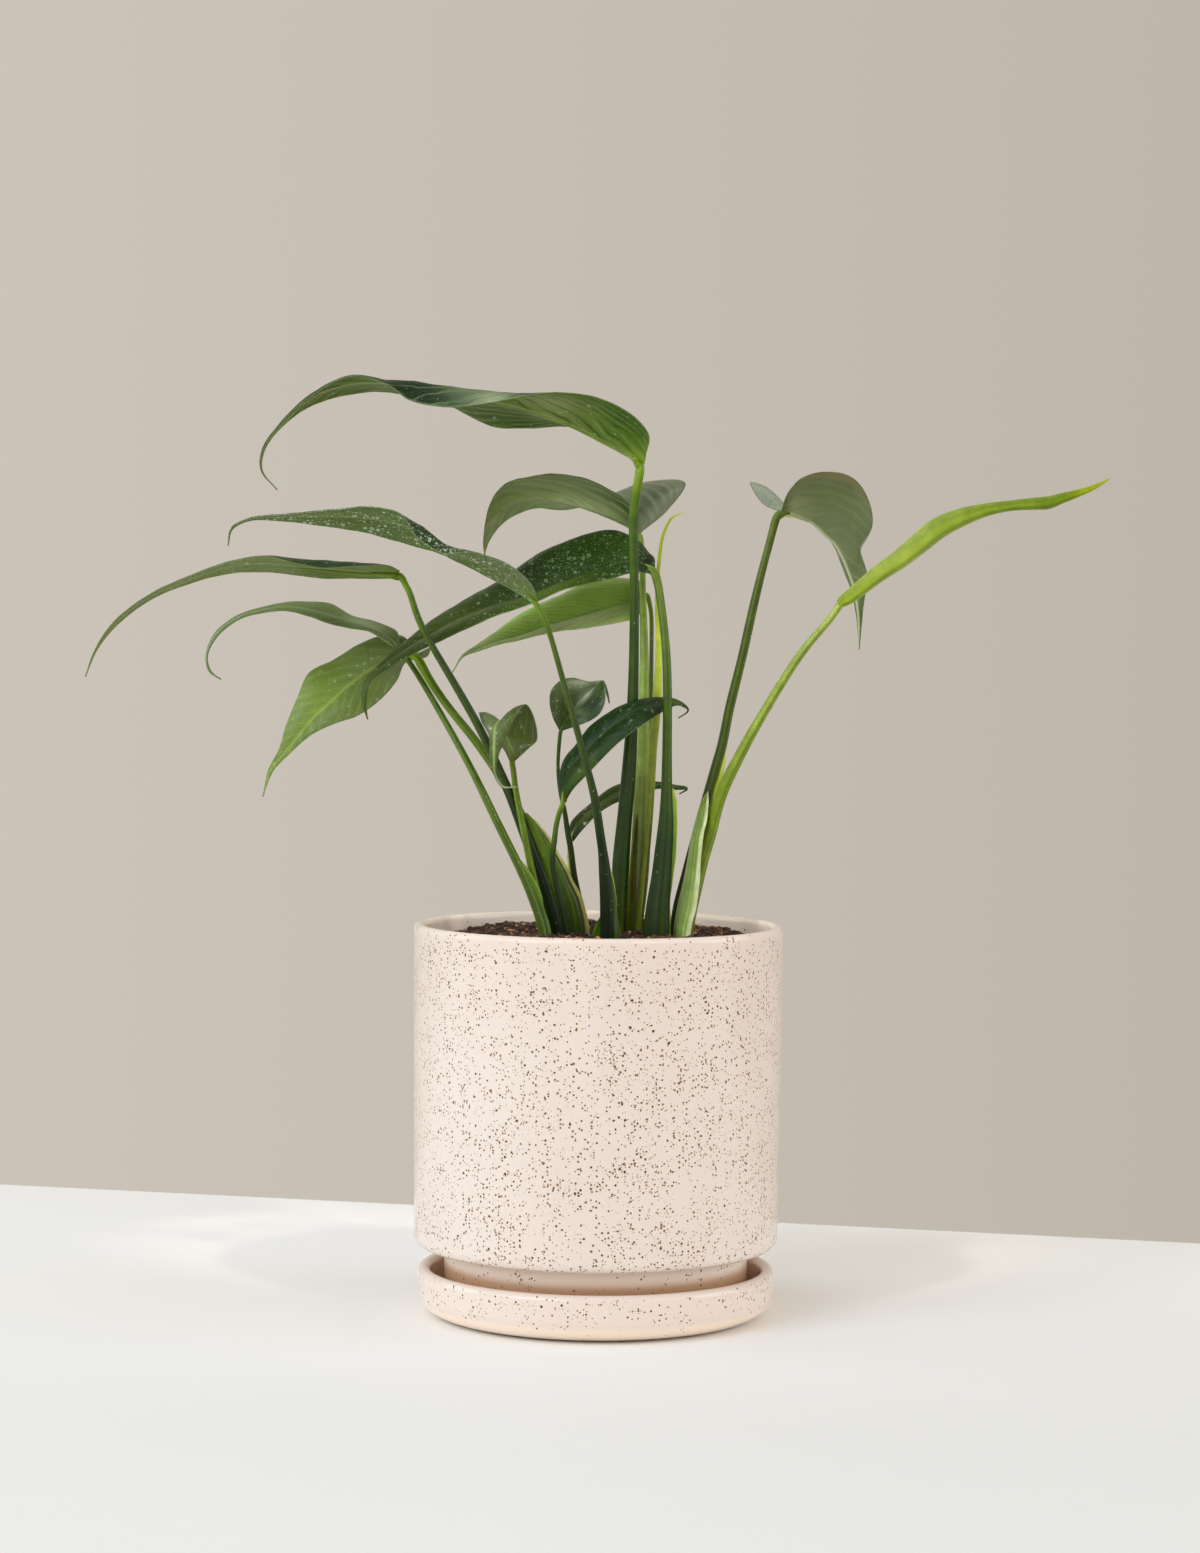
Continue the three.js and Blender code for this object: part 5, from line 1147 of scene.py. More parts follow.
def vein_parts(shader, veins, place, run, away):
    """Side veins that sweep towards the tip: the vein lines and the troughs between them."""
    bend = shader.noise(place, 0.09, 1.0).outputs[0]
    swept = shader.times(shader.math("POWER", away, VEIN_CURVE), veins["sweep"])
    phase = shader.math("DIVIDE", shader.minus(run, swept), veins["spacing"])
    phase = shader.plus(phase, shader.times(bend, VEIN_WANDER))
    wave = shader.math("ABSOLUTE", shader.minus(shader.math("FRACT", phase), 0.5))
    main = shader.step(wave, 0.5 - veins["width"], 0.5)
    trough = shader.rest(shader.step(wave, 0.0, veins.get("trough", 0.08)))
    finer = shader.math("FRACT", shader.times(phase, 2.0))
    minor = shader.step(shader.math("ABSOLUTE", shader.minus(finer, 0.5)), 0.28, 0.5)
    return shader.math("MAXIMUM", main, shader.times(minor, 0.3)), trough


def add_specks(shader, look, place, run, surface):
    """Pale wet flecks over a leaf, partly mineral spots and partly painted highlights of drops; surface
    holds its colour, relief and roughness.
    """
    colour, relief, rough = surface
    tone = linear(*look.get("speck_and_glint_tone", SPECK_AND_GLINT_TONE))
    crowd = shader.noise(place, 0.07, 2.0).outputs[0]
    if "speck_reach" in look:
        reach = look["speck_reach"]
        crowd = shader.minus(crowd, shader.times(shader.step(run, reach * 0.6, reach), 0.35))
    for scale, size, amount in SPECK_LAYERS:
        dots = shader.cells(place, scale)
        luck = shader.parts(dots.outputs["Color"])
        distance = dots.outputs["Distance"]
        kept = shader.below(luck[0], shader.times(crowd, look["specks"] * amount))
        # Each spot is paler towards its rim: a painted highlight of a drop.
        spot = shader.times(shader.rest(shader.step(distance, size * 0.35, size)), kept)
        ring = shader.times(shader.step(distance, size * 0.2, size * 0.6), spot)
        colour = shader.mix(shader.scaled(ring, 0.5, shader.times(spot, 0.4)), colour, tone)
        relief = shader.plus(relief, shader.times(spot, 1.2))
        rough = shader.minus(rough, shader.times(spot, 0.2))
    return colour, relief, rough


def leaf_look(name, look, face):
    """A leaf surface: painted tint with painted highlights and shade, side veins with painted shade in the
    troughs between them, fine net, midrib, clouds, pale specks that are partly painted drop highlights, and
    a lighter edge.
    """
    shader = Shader(name)
    tint = shader.attribute("tint", "Color")
    run, off, share = shader.parts(shader.attribute("place", "Vector"))
    place = shader.millimetres()
    veins = look["veins"]
    vein_tone = linear(*look[face + "_vein"])
    away = shader.math("ABSOLUTE", off)
    vein, trough = vein_parts(shader, veins, place, run, away)
    net = shader.cells(place, NET_SCALE, "DISTANCE_TO_EDGE").outputs["Distance"]
    net = shader.rest(shader.step(net, 0.0, 0.12))
    rib = shader.rest(shader.step(away, *RIB_LINE))
    rib = shader.times(rib, shader.rest(shader.step(share, 0.15, 0.45)))
    patchy = shader.noise(place, 0.12, 3.0, 0.6).outputs[0]
    fade = shader.times(shader.step(patchy, 0.25, 0.6), veins[face])
    colour = shader.mix(shader.times(vein, fade), tint, vein_tone)
    # Painted shade: the troughs between the side veins darker.
    trough_shade = shader.darkened(tint, veins.get("trough_shade", TROUGH_SHADE_TONE))
    colour = shader.mix(shader.times(trough, fade), colour, trough_shade)
    colour = shader.mix(shader.times(net, 0.10), colour, vein_tone)
    cloud = shader.noise(place, 0.05, 4.0, 0.6).outputs[0]
    colour = shader.mix(shader.step(cloud, 0.3, 0.75), shader.darkened(colour, CLOUD_TONE), colour)
    rib_share = shader.times(rib, look.get(face + "_rib", 0.7))
    colour = shader.mix(rib_share, colour, linear(*look.get("rib_tone", RIB_TONE)))
    relief = shader.plus(shader.times(vein, 0.5), shader.times(net, 0.25))
    if face == "upper":
        relief = shader.rest(relief)
    rough = shader.scaled(patchy, 0.16, look.get("rough", 0.34))
    if look["specks"]:
        colour, relief, rough = add_specks(shader, look, place, run, (colour, relief, rough))
    edge = shader.times(shader.step(share, EDGE_START, 1.0), look["edge"])
    colour = shader.mix(edge, colour, linear(*look["edge_tone"]))
    shader.set(Base_Color=colour, Roughness=rough)
    shader.surface.inputs["Specular IOR Level"].default_value = look.get("gloss", 0.3)
    shader.bump(relief, 0.08, 0.8)
    return shader.material


def stalk_look(name, gloss=0.26, fibres=1.0):
    """Stalk skin: painted tint, lengthwise fibres and streaks, small pale pores."""
    shader = Shader(name)
    tint = shader.attribute("tint", "Color")
    run, side, depth = shader.parts(shader.attribute("place", "Vector"))
    place = shader.millimetres()
    fine = {0: shader.times(run, 0.014), 1: side, 2: depth}
    fibre = shader.noise(shader.node("CombineXYZ", fine).outputs[0], 0.42, 2.0, 0.5).outputs[0]
    blotch = shader.noise(place, 0.16, 3.0, 0.6).outputs[0]
    light = shader.times(shader.step(fibre, 0.42, 0.72), fibres)
    colour = shader.mix(light, tint, shader.mix(1.0, tint, linear(*FIBRE_GLOW), "SOFT_LIGHT"))
    dim = shader.darkened(colour, BLOTCH_TONE)
    colour = shader.mix(shader.step(blotch, 0.35, 0.7), dim, colour)
    coarse = {0: shader.times(run, 0.006), 1: depth, 2: side}
    streak = shader.noise(shader.node("CombineXYZ", coarse).outputs[0], 0.3, 2.0, 0.5).outputs[0]
    dark = shader.times(shader.step(streak, 0.52, 0.75), fibres)
    colour = shader.mix(dark, colour, shader.darkened(colour, STREAK_TONE))
    dots = shader.cells(place, 0.35)
    luck = shader.parts(dots.outputs["Color"])
    pore = shader.rest(shader.step(dots.outputs["Distance"], 0.08, 0.2))
    pore = shader.times(pore, shader.below(luck[0], 0.3))
    colour = shader.mix(shader.times(pore, 0.35), colour, linear(*PORE_TONE))
    shader.set(Base_Color=colour, Roughness=shader.scaled(fibre, 0.12, 0.24))
    shader.surface.inputs["Specular IOR Level"].default_value = gloss
    shader.bump(shader.plus(fibre, shader.times(pore, 0.4)), 0.03, 0.5)
    return shader.material


def stalk_tint(stops, gain=1.0):
    """Colours along a stalk from the soil up: (share, colour, colour of the lit left side)."""
    shares = [stop[0] for stop in stops]
    tones = np.array([skin(stop[1], gain) for stop in stops])
    sides = np.array([skin(stop[2], gain) for stop in stops])

    def tint(share, around):
        tone = np.array([np.interp(share, shares, tones[:, k]) for k in range(3)])
        side = np.array([np.interp(share, shares, sides[:, k]) for k in range(3)])
        weight = 0.5 + 0.5 * math.cos((around - 0.62) * 2 * math.pi)
        return tone * (1 - weight) + side * weight
    return tint


LINE_TONE = (62, 40, 36)


def add_sheath(build, pairs, look):
    """A thin bowed wing along a stalk's foot: streaked inner side, a line, then a pale wavy free edge."""
    rows, columns = SHEATH_ROWS, SHEATH_COLUMNS
    roots = spline([pair[0] for pair in pairs], rows)
    rims = spline([pair[1] for pair in pairs], rows)
    reach = rims - roots
    bow = np.stack([reach[:, 1], -reach[:, 0], np.zeros(rows)], axis=1) * SHEATH_BOW
    across = np.linspace(0, 1, columns)
    grid = roots[:, None] + reach[:, None] * across[None, :, None]
    grid = grid + bow[:, None] * (4 * across * (1 - across))[None, :, None]
    run = arc_lengths(rims)
    ripple = 0.35 * np.sin(run / 3.1) * np.sin(run / 7.3 + 1)
    grid = grid + unit(reach)[:, None] * (ripple[:, None] * across[None] ** 3)[..., None]
    inner, rim, tip = (np.array(skin(look[part])) for part in ("inner", "rim", "tip"))
    down = np.linspace(0, 1, rows)[:, None, None]
    band = look["band"]
    streaks = 1 + 0.18 * np.sin(across * 31 + 2 * np.sin(across * 9))[None, :, None]
    weight = np.clip(down / look.get("turn", 1.0), 0, 1)
    tints = (tip * (1 - weight) + inner * weight) * streaks
    weight = np.clip((across - band) / 0.05, 0, 1)[None, :, None]
    tints = tints * (1 - weight) + rim * weight
    weight = look.get("line_share", 0.0) * np.exp(-((across - band + 0.03) / 0.055) ** 2)[None, :, None]
    tints = tints * (1 - weight) + np.array(skin(look.get("line", LINE_TONE))) * weight
    places = np.zeros((rows, columns, 3))
    places[..., 0] = run[:, None]
    places[..., 1] = across[None] * np.linalg.norm(reach, axis=1)[:, None]
    half = np.tile(SHEATH_THICKNESS / 2 * (1 - 0.55 * across), (rows, 1))
    add_sheet(build, grid, half, half, (tints, tints), (places, places))


def resampled(rings, count):
    """Centres, half widths and half depths of a tube through rings."""
    centres = spline([ring[:3] for ring in rings], count)
    index = np.linspace(0, len(rings) - 1, count)
    widths = np.interp(index, range(len(rings)), [ring[3] for ring in rings])
    depths = np.interp(index, range(len(rings)), [ring[4] for ring in rings])
    return centres, smooth(widths), smooth(depths)


def smooth(values, passes=3):
    values = values.copy()
    for _ in range(passes):
        values[1:-1] = (values[:-2] + 2 * values[1:-1] + values[2:]) / 4
    return values


# How each leaf looks. Colours are screen values. A patch is (station, across, reach along, reach across,
# colour), with -1 the left edge and 1 the right edge, seen from the stalk.

# A raised gain stands in for light that a leaf lacks, most of all on the bright leaf: painted light.
# Patches paint the leaf's own blotches and also painted highlights and painted shade where light falls on
# its curves.
LOOKS = {
    "tall": {
        "gain": 1.45, "gloss": 0.2, "rib_tone": (142, 160, 92), "under_rib": 0.95, "under": (92, 112, 52),
        "upper": (30, 46, 28), "under_vein": (124, 144, 88), "upper_vein": (120, 138, 100),
        "veins": {"spacing": 18, "sweep": 3.2, "under": 0.9, "upper": 0.6, "width": 0.14, "trough": 0.16,
            "trough_shade": (140, 150, 120)}, "specks": 0.1,
        "under_patches": [
            (0.0, 0.0, 1.7, 1.6, (120, 150, 44)), (2.6, -0.7, 1.4, 0.6, (62, 90, 26)),
            (4.9, -0.45, 0.9, 0.35, (126, 136, 92)),
            (5.6, 0.6, 1.6, 0.5, (62, 84, 32)), (11.5, 0.0, 2.5, 1.5, (78, 98, 44)),
            (14.5, 0.0, 1.5, 2.0, (66, 72, 38)),
        ],
        "upper_patches": [(6.9, -0.5, 0.4, 0.3, (84, 102, 74)), (6.2, -0.9, 0.5, 0.4, (128, 140, 110))],
        "edge": 0.45, "edge_tone": (150, 165, 115),
    },
    "front": {
        "gain": 1.15, "rib": 0.35, "under_rib": 0.15, "under": (90, 112, 62), "upper": (44, 60, 38),
        "under_vein": (140, 158, 112), "upper_vein": (110, 128, 100),
        "veins": {"spacing": 11, "sweep": 2.2, "under": 0.5, "upper": 0.4, "width": 0.1}, "specks": 1.25,
        "speck_and_glint_tone": (190, 204, 182),
        "under_patches": [(0.0, 0.0, 0.8, 1.5, (104, 126, 56)), (2.0, 0.0, 1.0, 1.5, (92, 110, 64)),
            (9.5, 0.0, 1.5, 1.5, (100, 110, 74)),
                          (7.2, 0.4, 1.4, 0.8, (88, 108, 58))],
        "upper_patches": [(3.2, -0.5, 0.5, 0.6, (70, 88, 60))],
        "edge": 0.45, "edge_tone": (140, 160, 100),
    },
    "long": {
        "gain": (1.5, 1.48, 1.6), "under_rib": 0.3, "under": (98, 112, 66), "upper": (38, 58, 38),
        "under_vein": (132, 146, 96), "upper_vein": (100, 120, 90),
        "veins": {"spacing": 14, "sweep": 3, "under": 0.5, "upper": 0.4, "width": 0.1}, "specks": 0.35,
        "under_patches": [(0.0, 0.0, 1.0, 1.5, (84, 104, 46)), (8.0, 0.0, 2.0, 1.5, (90, 102, 58)),
            (3.5, 0.5, 2.0, 0.7, (88, 102, 56))],
        "upper_patches": [(6.5, -0.5, 1.6, 0.8, (80, 98, 58))],
        "edge": 0.35, "edge_tone": (150, 165, 105),
    },
    "curled": {
        "gain": 1.3, "under": (96, 112, 72), "upper": (88, 108, 64), "under_vein": (130, 146, 104),
        "upper_vein": (122, 140, 96),
        "veins": {"spacing": 12, "sweep": 2.6, "under": 0.5, "upper": 0.4, "width": 0.1}, "specks": 0.1,
        "upper_patches": [(2.2, -0.1, 1.0, 0.5, (140, 152, 116)), (0.5, 0.4, 1.0, 0.8, (74, 92, 50)),
            (6.5, 0.0, 1.5, 1.5, (106, 124, 76)),
                          (4.0, -0.6, 1.2, 0.5, (76, 94, 54))],
        "edge": 0.3, "edge_tone": (130, 148, 96), "rib_tone": (152, 164, 124),
    },
    "drooping": {
        "gain": (1.32, 1.26, 1.6), "upper_rib": 0.5, "under": (120, 140, 84), "upper": (112, 133, 74),
        "under_vein": (150, 168, 96), "upper_vein": (152, 172, 84),
        "veins": {"spacing": 8, "sweep": 1.5, "under": 0.5, "upper": 0.6, "width": 0.12}, "specks": 0.3,
        "speck_and_glint_tone": (160, 178, 128),
        "upper_patches": [(1.8, 0.7, 0.9, 0.5, (60, 78, 34)), (3.2, -0.7, 1.4, 0.4, (122, 130, 92)),
            (5.4, -0.6, 1.8, 0.5, (92, 112, 50)),
                          (9.0, 0.0, 1.5, 1.5, (94, 118, 44)), (6.0, 0.6, 1.5, 0.6, (108, 132, 54)),
                          (6.5, 0.1, 1.5, 0.2, (116, 144, 60))],
        "edge": 0.5, "edge_tone": (84, 112, 48), "rib_tone": (166, 182, 84),
    },
    "dark": {
        "gain": (0.8, 0.82, 0.7), "gloss": 0.16, "rib": 0.8, "upper_rib": 0.2, "under": (86, 102, 60),
        "upper": (58, 80, 26), "under_vein": (120, 138, 90), "upper_vein": (84, 104, 52),
        "veins": {"spacing": 11, "sweep": 1.8, "under": 0.5, "upper": 0.3, "width": 0.1}, "specks": 1.3,
        "speck_reach": 95, "speck_and_glint_tone": (118, 140, 98),
        "upper_patches": [(1.3, 0.2, 1.1, 1.2, (34, 50, 14)), (3.0, 0.4, 0.8, 0.5, (62, 88, 24)),
            (5.6, -0.6, 1.2, 0.4, (92, 112, 56)),
                          (9.0, 0.0, 2.4, 1.5, (72, 88, 44)), (6.3, 0.55, 1.1, 0.5, (46, 60, 22)),
                          (8.6, -0.35, 1.6, 0.22, (96, 110, 72)),
                          (12.6, 0.2, 1.5, 1.5, (80, 96, 58))],
        "edge": 0.45, "edge_tone": (118, 140, 62), "rib_tone": (104, 122, 72),
    },
    "bright": {
        # A large gain: painted light for a leaf that faces away from the lamps.
        "gain": (3.5, 3.4, 3.5), "upper_rib": 0.15, "under": (112, 128, 82), "upper": (94, 118, 54),
        "under_vein": (140, 156, 96), "upper_vein": (124, 150, 64),
        "veins": {"spacing": 10, "sweep": 2, "under": 0.6, "upper": 0.5, "width": 0.26}, "specks": 0.1,
        "upper_patches": [(4.0, -0.75, 3.2, 0.55, (118, 130, 90)), (1.0, -0.2, 0.8, 0.9, (58, 76, 26)),
            (7.5, 0.0, 1.5, 1.5, (104, 116, 74))],
        "edge": 0.4, "edge_tone": (80, 104, 40), "rib_tone": (128, 144, 84),
    },
    "rear": {
        "gain": 1.85, "rib": 0.7, "under_rib": 0.3, "under": (94, 112, 64), "upper": (92, 100, 78),
        "under_vein": (150, 160, 116), "upper_vein": (128, 134, 114),
        "veins": {"spacing": 22, "sweep": 3, "under": 0.75, "upper": 0.7, "width": 0.32}, "specks": 0.0,
        "under_patches": [(2.2, -0.6, 1.5, 0.55, (52, 74, 16)), (4.6, -0.05, 2.2, 0.22, (142, 150, 108)),
            (5.6, -0.5, 0.9, 0.35, (104, 116, 72)),
                          (4.8, -0.95, 1.6, 0.3, (66, 86, 34)),
                          (9.0, 0.0, 1.5, 1.5, (98, 108, 70))],
        "upper_patches": [(2.0, 0.35, 0.7, 0.35, (62, 70, 52)), (5.5, 0.4, 1.5, 0.6, (100, 112, 78))],
        "edge": 0.6, "edge_tone": (66, 84, 40), "rib_tone": (150, 158, 112),
    },
    "right": {
        "gain": 1.33, "under": (102, 112, 78), "upper": (136, 142, 126), "under_vein": (140, 148, 112),
        "upper_vein": (120, 136, 96),
        "veins": {"spacing": 13, "sweep": 1.7, "under": 0.45, "upper": 0.4, "width": 0.12}, "specks": 0.0,
        "under_patches": [(1.2, -0.6, 1.2, 0.5, (146, 152, 132)), (2.0, 0.3, 1.2, 0.5, (84, 96, 60)),
            (4.5, 0.2, 1.2, 0.25, (124, 132, 96)), (10.0, 0.4, 1.0, 0.8, (92, 102, 66)),
                          (12.5, 0.0, 1.3, 1.5, (74, 92, 38)), (6.5, 0.97, 1.2, 0.12, (128, 112, 86))],
        "edge": 0.45, "edge_tone": (72, 90, 44), "rib_tone": (182, 186, 140), "under_rib": 0.95,
    },
    "cupped": {
        "gain": (1.35, 1.32, 1.5), "under": (82, 96, 58), "upper": (66, 80, 44),
        "under_vein": (122, 138, 84), "upper_vein": (104, 120, 62),
        "veins": {"spacing": 8, "sweep": 1.6, "under": 0.55, "upper": 0.5, "width": 0.14}, "specks": 0.2,
        "speck_and_glint_tone": (164, 174, 150),
        "under_patches": [(4.0, 0.3, 1.6, 0.7, (110, 122, 92)), (7.0, 0.0, 1.5, 1.5, (74, 94, 50)),
            (2.0, -0.5, 1.2, 0.6, (74, 88, 34)),
                          (9.5, 0.0, 1.0, 2.0, (150, 160, 124))],
        "upper_patches": [(4.0, 0.3, 1.6, 0.7, (100, 112, 80)), (9.5, 0.0, 1.0, 2.0, (150, 160, 124))],
        "edge": 0.4, "edge_tone": (140, 150, 120),
    },
    "round": {
        "gain": 1.2, "upper_rib": 0.1, "under": (84, 100, 62), "upper": (56, 74, 40),
        "under_vein": (110, 128, 84), "upper_vein": (92, 110, 74),
        "veins": {"spacing": 9, "sweep": 1.3, "under": 0.4, "upper": 0.4, "width": 0.12}, "specks": 0.25,
        "rough": 0.26, "gloss": 0.4,
        # The round leaf's palest patches are painted highlights of its gloss; its darkest is painted shade.
        "upper_patches": [(5.0, -0.55, 0.9, 0.35, (124, 132, 112)), (4.2, 0.12, 1.1, 0.2, (172, 180, 160)),
            (3.4, 0.6, 0.8, 0.4, (40, 56, 20)),
                          (2.2, 0.3, 0.4, 0.3, (104, 116, 90)), (6.5, -0.2, 0.6, 0.5, (132, 142, 112))],
        "edge": 0.5, "edge_tone": (120, 136, 104),
    },
    "middle": {
        "gain": (0.84, 0.84, 0.6), "gloss": 0.15, "rib": 0.7, "upper_rib": 0.12, "under": (84, 100, 62),
        "upper": (46, 66, 24), "under_vein": (110, 128, 84), "upper_vein": (76, 98, 54),
        "veins": {"spacing": 11, "sweep": 1.6, "under": 0.4, "upper": 0.3, "width": 0.1}, "specks": 0.3,
        "speck_and_glint_tone": (104, 126, 92),
        "upper_patches": [(1.8, 0.7, 1.4, 0.35, (76, 98, 56)), (0.0, 0.0, 0.6, 1.5, (88, 110, 54)),
            (8.5, 0.0, 1.4, 1.5, (78, 92, 54)),
                          (6.6, 0.0, 0.8, 1.5, (42, 58, 26))],
        "edge": 0.6, "edge_tone": (112, 130, 96), "rib_tone": (86, 106, 60),
    },
    "strap": {
        "gloss": 0.15, "upper_rib": 0.2, "under": (92, 106, 56), "upper": (64, 80, 28),
        "under_vein": (116, 130, 80), "upper_vein": (92, 110, 50),
        "veins": {"spacing": 9, "sweep": 2.2, "under": 0.4, "upper": 0.35, "width": 0.1}, "specks": 0.1,
        "upper_patches": [(0.6, 0.0, 1.0, 1.5, (54, 66, 30)), (4.2, 0.0, 0.7, 1.5, (98, 118, 52)),
            (5.2, 0.0, 0.6, 1.5, (40, 52, 16))],
        "edge": 0.3, "edge_tone": (104, 120, 60),
    },
}

# Stalk colours from the soil up: share, colour, colour of the lit left side
STALK_TONES = {
    "tall": [(0, (58, 64, 24), (70, 84, 34)), (0.2, (42, 58, 16), (58, 78, 30)),
        (0.55, (48, 66, 24), (66, 88, 36)),
             (0.75, (62, 84, 28), (84, 110, 44)), (0.86, (96, 124, 34), (122, 150, 56)),
             (1, (140, 168, 58), (172, 194, 92))],
    "front": [(0, (30, 36, 14), (40, 54, 20)), (0.35, (40, 56, 20), (56, 76, 32)),
        (0.7, (62, 80, 34), (84, 104, 50)), (0.86, (86, 114, 42), (108, 134, 58)),
        (1, (132, 168, 62), (156, 188, 88))],
    "long": [(0, (22, 28, 10), (44, 56, 20)), (0.3, (38, 52, 18), (66, 86, 34)),
        (0.6, (52, 70, 28), (82, 102, 46)),
             (0.82, (108, 146, 34), (142, 174, 58)), (1, (98, 126, 42), (130, 154, 64))],
    "curled": [(0, (66, 84, 26), (88, 108, 42)), (0.3, (88, 110, 46), (112, 134, 64)),
        (0.7, (98, 124, 58), (118, 144, 74)), (1, (78, 98, 42), (100, 118, 60))],
    "drooping": [(0, (28, 36, 12), (44, 56, 20)), (0.3, (48, 64, 18), (64, 84, 28)),
        (0.6, (70, 92, 34), (102, 124, 54)), (1, (98, 122, 42), (122, 144, 60))],
    "dark": [(0, (50, 56, 24), (60, 74, 30)), (0.3, (44, 60, 22), (60, 80, 34)),
        (0.6, (70, 90, 40), (92, 114, 56)), (1, (126, 150, 64), (150, 170, 88))],
    "bright": [(0, (70, 80, 32), (84, 94, 40)), (0.6, (70, 84, 32), (90, 106, 44)),
        (1, (92, 112, 46), (118, 140, 62))],
    "rear": [(0, (96, 104, 44), (124, 128, 58)), (0.25, (84, 100, 40), (112, 126, 58)),
        (0.5, (108, 126, 58), (140, 158, 86)), (0.75, (108, 130, 52), (136, 158, 74)),
             (1, (104, 124, 50), (124, 144, 64))],
    "right": [(0, (82, 92, 38), (60, 70, 26)), (0.3, (92, 110, 40), (70, 86, 30)),
        (0.6, (98, 118, 54), (84, 104, 46)), (1, (104, 124, 56), (118, 136, 66))],
    "new": [(0, (100, 112, 46), (120, 136, 66)), (0.4, (104, 126, 34), (128, 150, 54)),
        (0.75, (128, 148, 46), (160, 178, 90)), (1, (152, 170, 72), (176, 192, 106))],
    "cupped": [(0, (66, 80, 30), (84, 100, 44)), (0.5, (76, 100, 28), (92, 116, 40)),
        (1, (76, 96, 30), (94, 114, 42))],
    "round": [(0, (50, 60, 26), (62, 74, 34)), (0.5, (56, 72, 38), (72, 90, 50)),
        (1, (72, 92, 42), (92, 112, 58))],
    "middle": [(0, (32, 42, 14), (42, 54, 20)), (0.5, (40, 56, 18), (56, 74, 28)),
        (1, (104, 128, 58), (132, 152, 92))],
    "strap": [(0, (66, 78, 28), (84, 96, 40)), (0.5, (92, 104, 52), (120, 130, 76)),
        (1, (58, 72, 34), (74, 90, 44))],
    "spear": [(0, (70, 76, 36), (84, 92, 44)), (0.3, (120, 134, 54), (146, 160, 72)),
        (0.5, (178, 190, 66), (206, 214, 100)),
              (0.75, (128, 148, 48), (160, 176, 76)), (1, (170, 178, 60), (196, 200, 96))],
}

# Gains on the stalk colours; the large ones, as for the strap and cupped stalks, stand in for missing light:
# painted light.
STALK_GAINS = {
    "tall": (0.84, 0.86, 0.66), "front": (0.7, 0.72, 0.3), "long": (0.72, 0.74, 0.55),
    "curled": (0.64, 0.68, 0.64), "drooping": (1.14, 1.2, 1.0), "dark": (0.68, 0.72, 0.55),
    "bright": (0.76, 0.88, 0.5), "rear": (1.3, 1.28, 1.4), "right": (0.78, 0.76, 0.82),
    "new": 0.92, "cupped": (1.5, 1.4, 1.8), "round": (0.72, 0.74, 0.6), "middle": (0.82, 0.9, 0.4),
    "strap": (5.6, 5.2, 4.8), "spear": 1.3,
}

# Sheath wings in the order of the plant's list: tone at the tip and lower down, share of the width
# where the pale free edge starts, and how strongly a dark line runs beside it
SHEATH_LOOKS = {
    "front": [
        {"tip": (70, 92, 36), "inner": (56, 76, 28), "rim": (136, 158, 84), "band": 0.72},
        {"tip": (70, 92, 36), "inner": (62, 84, 32), "rim": (96, 118, 56), "band": 0.8},
    ],
    "long": [{"tip": (92, 118, 42), "inner": (56, 78, 24), "rim": (184, 184, 112), "band": 0.8,
        "line_share": 0.95}],
    "curled": [{"tip": (80, 104, 38), "inner": (60, 86, 28), "rim": (112, 136, 62), "band": 0.78}],
    "dark": [{"tip": (128, 156, 60), "inner": (70, 96, 30), "rim": (150, 172, 66), "band": 0.66}],
    "rear": [{"tip": (84, 96, 36), "inner": (112, 120, 42), "rim": (144, 152, 70), "band": 0.8}],
    "right": [
        {"tip": (138, 158, 58), "inner": (116, 140, 46), "rim": (170, 182, 88), "band": 0.7},
        {"tip": (92, 118, 46), "inner": (138, 160, 96), "turn": 0.45, "rim": (204, 212, 172), "band": 0.88},
    ],
}


# The rib under a blade: radius, share of depth, how far it stands out to show, share of the length
RIB_RADIUS = 0.85
RIB_DEPTH = 0.85
RIB_SHOWN = 0.12
RIB_REACH = 0.55
NECK_FADE = 7.0
# Waves along a blade's edge, and the shallow pleats between its side veins
RIPPLE = 0.1
RIPPLE_LENGTH = 17.0
PLEAT_SHARE = 0.016
STALK_SMOOTHING = 24
NECK_SMOOTHING = 2
# A stalk runs on under its leaf: reaches past the leaf's base in millimetres, then the shares of its own
# width at the base and at each reach
NECK = ((2.2, 5.0), (0.97, 0.8, 0.45))
LONG_NECK = ((3.0, 7.0, 12.0), (1.0, 0.95, 0.8, 0.5))


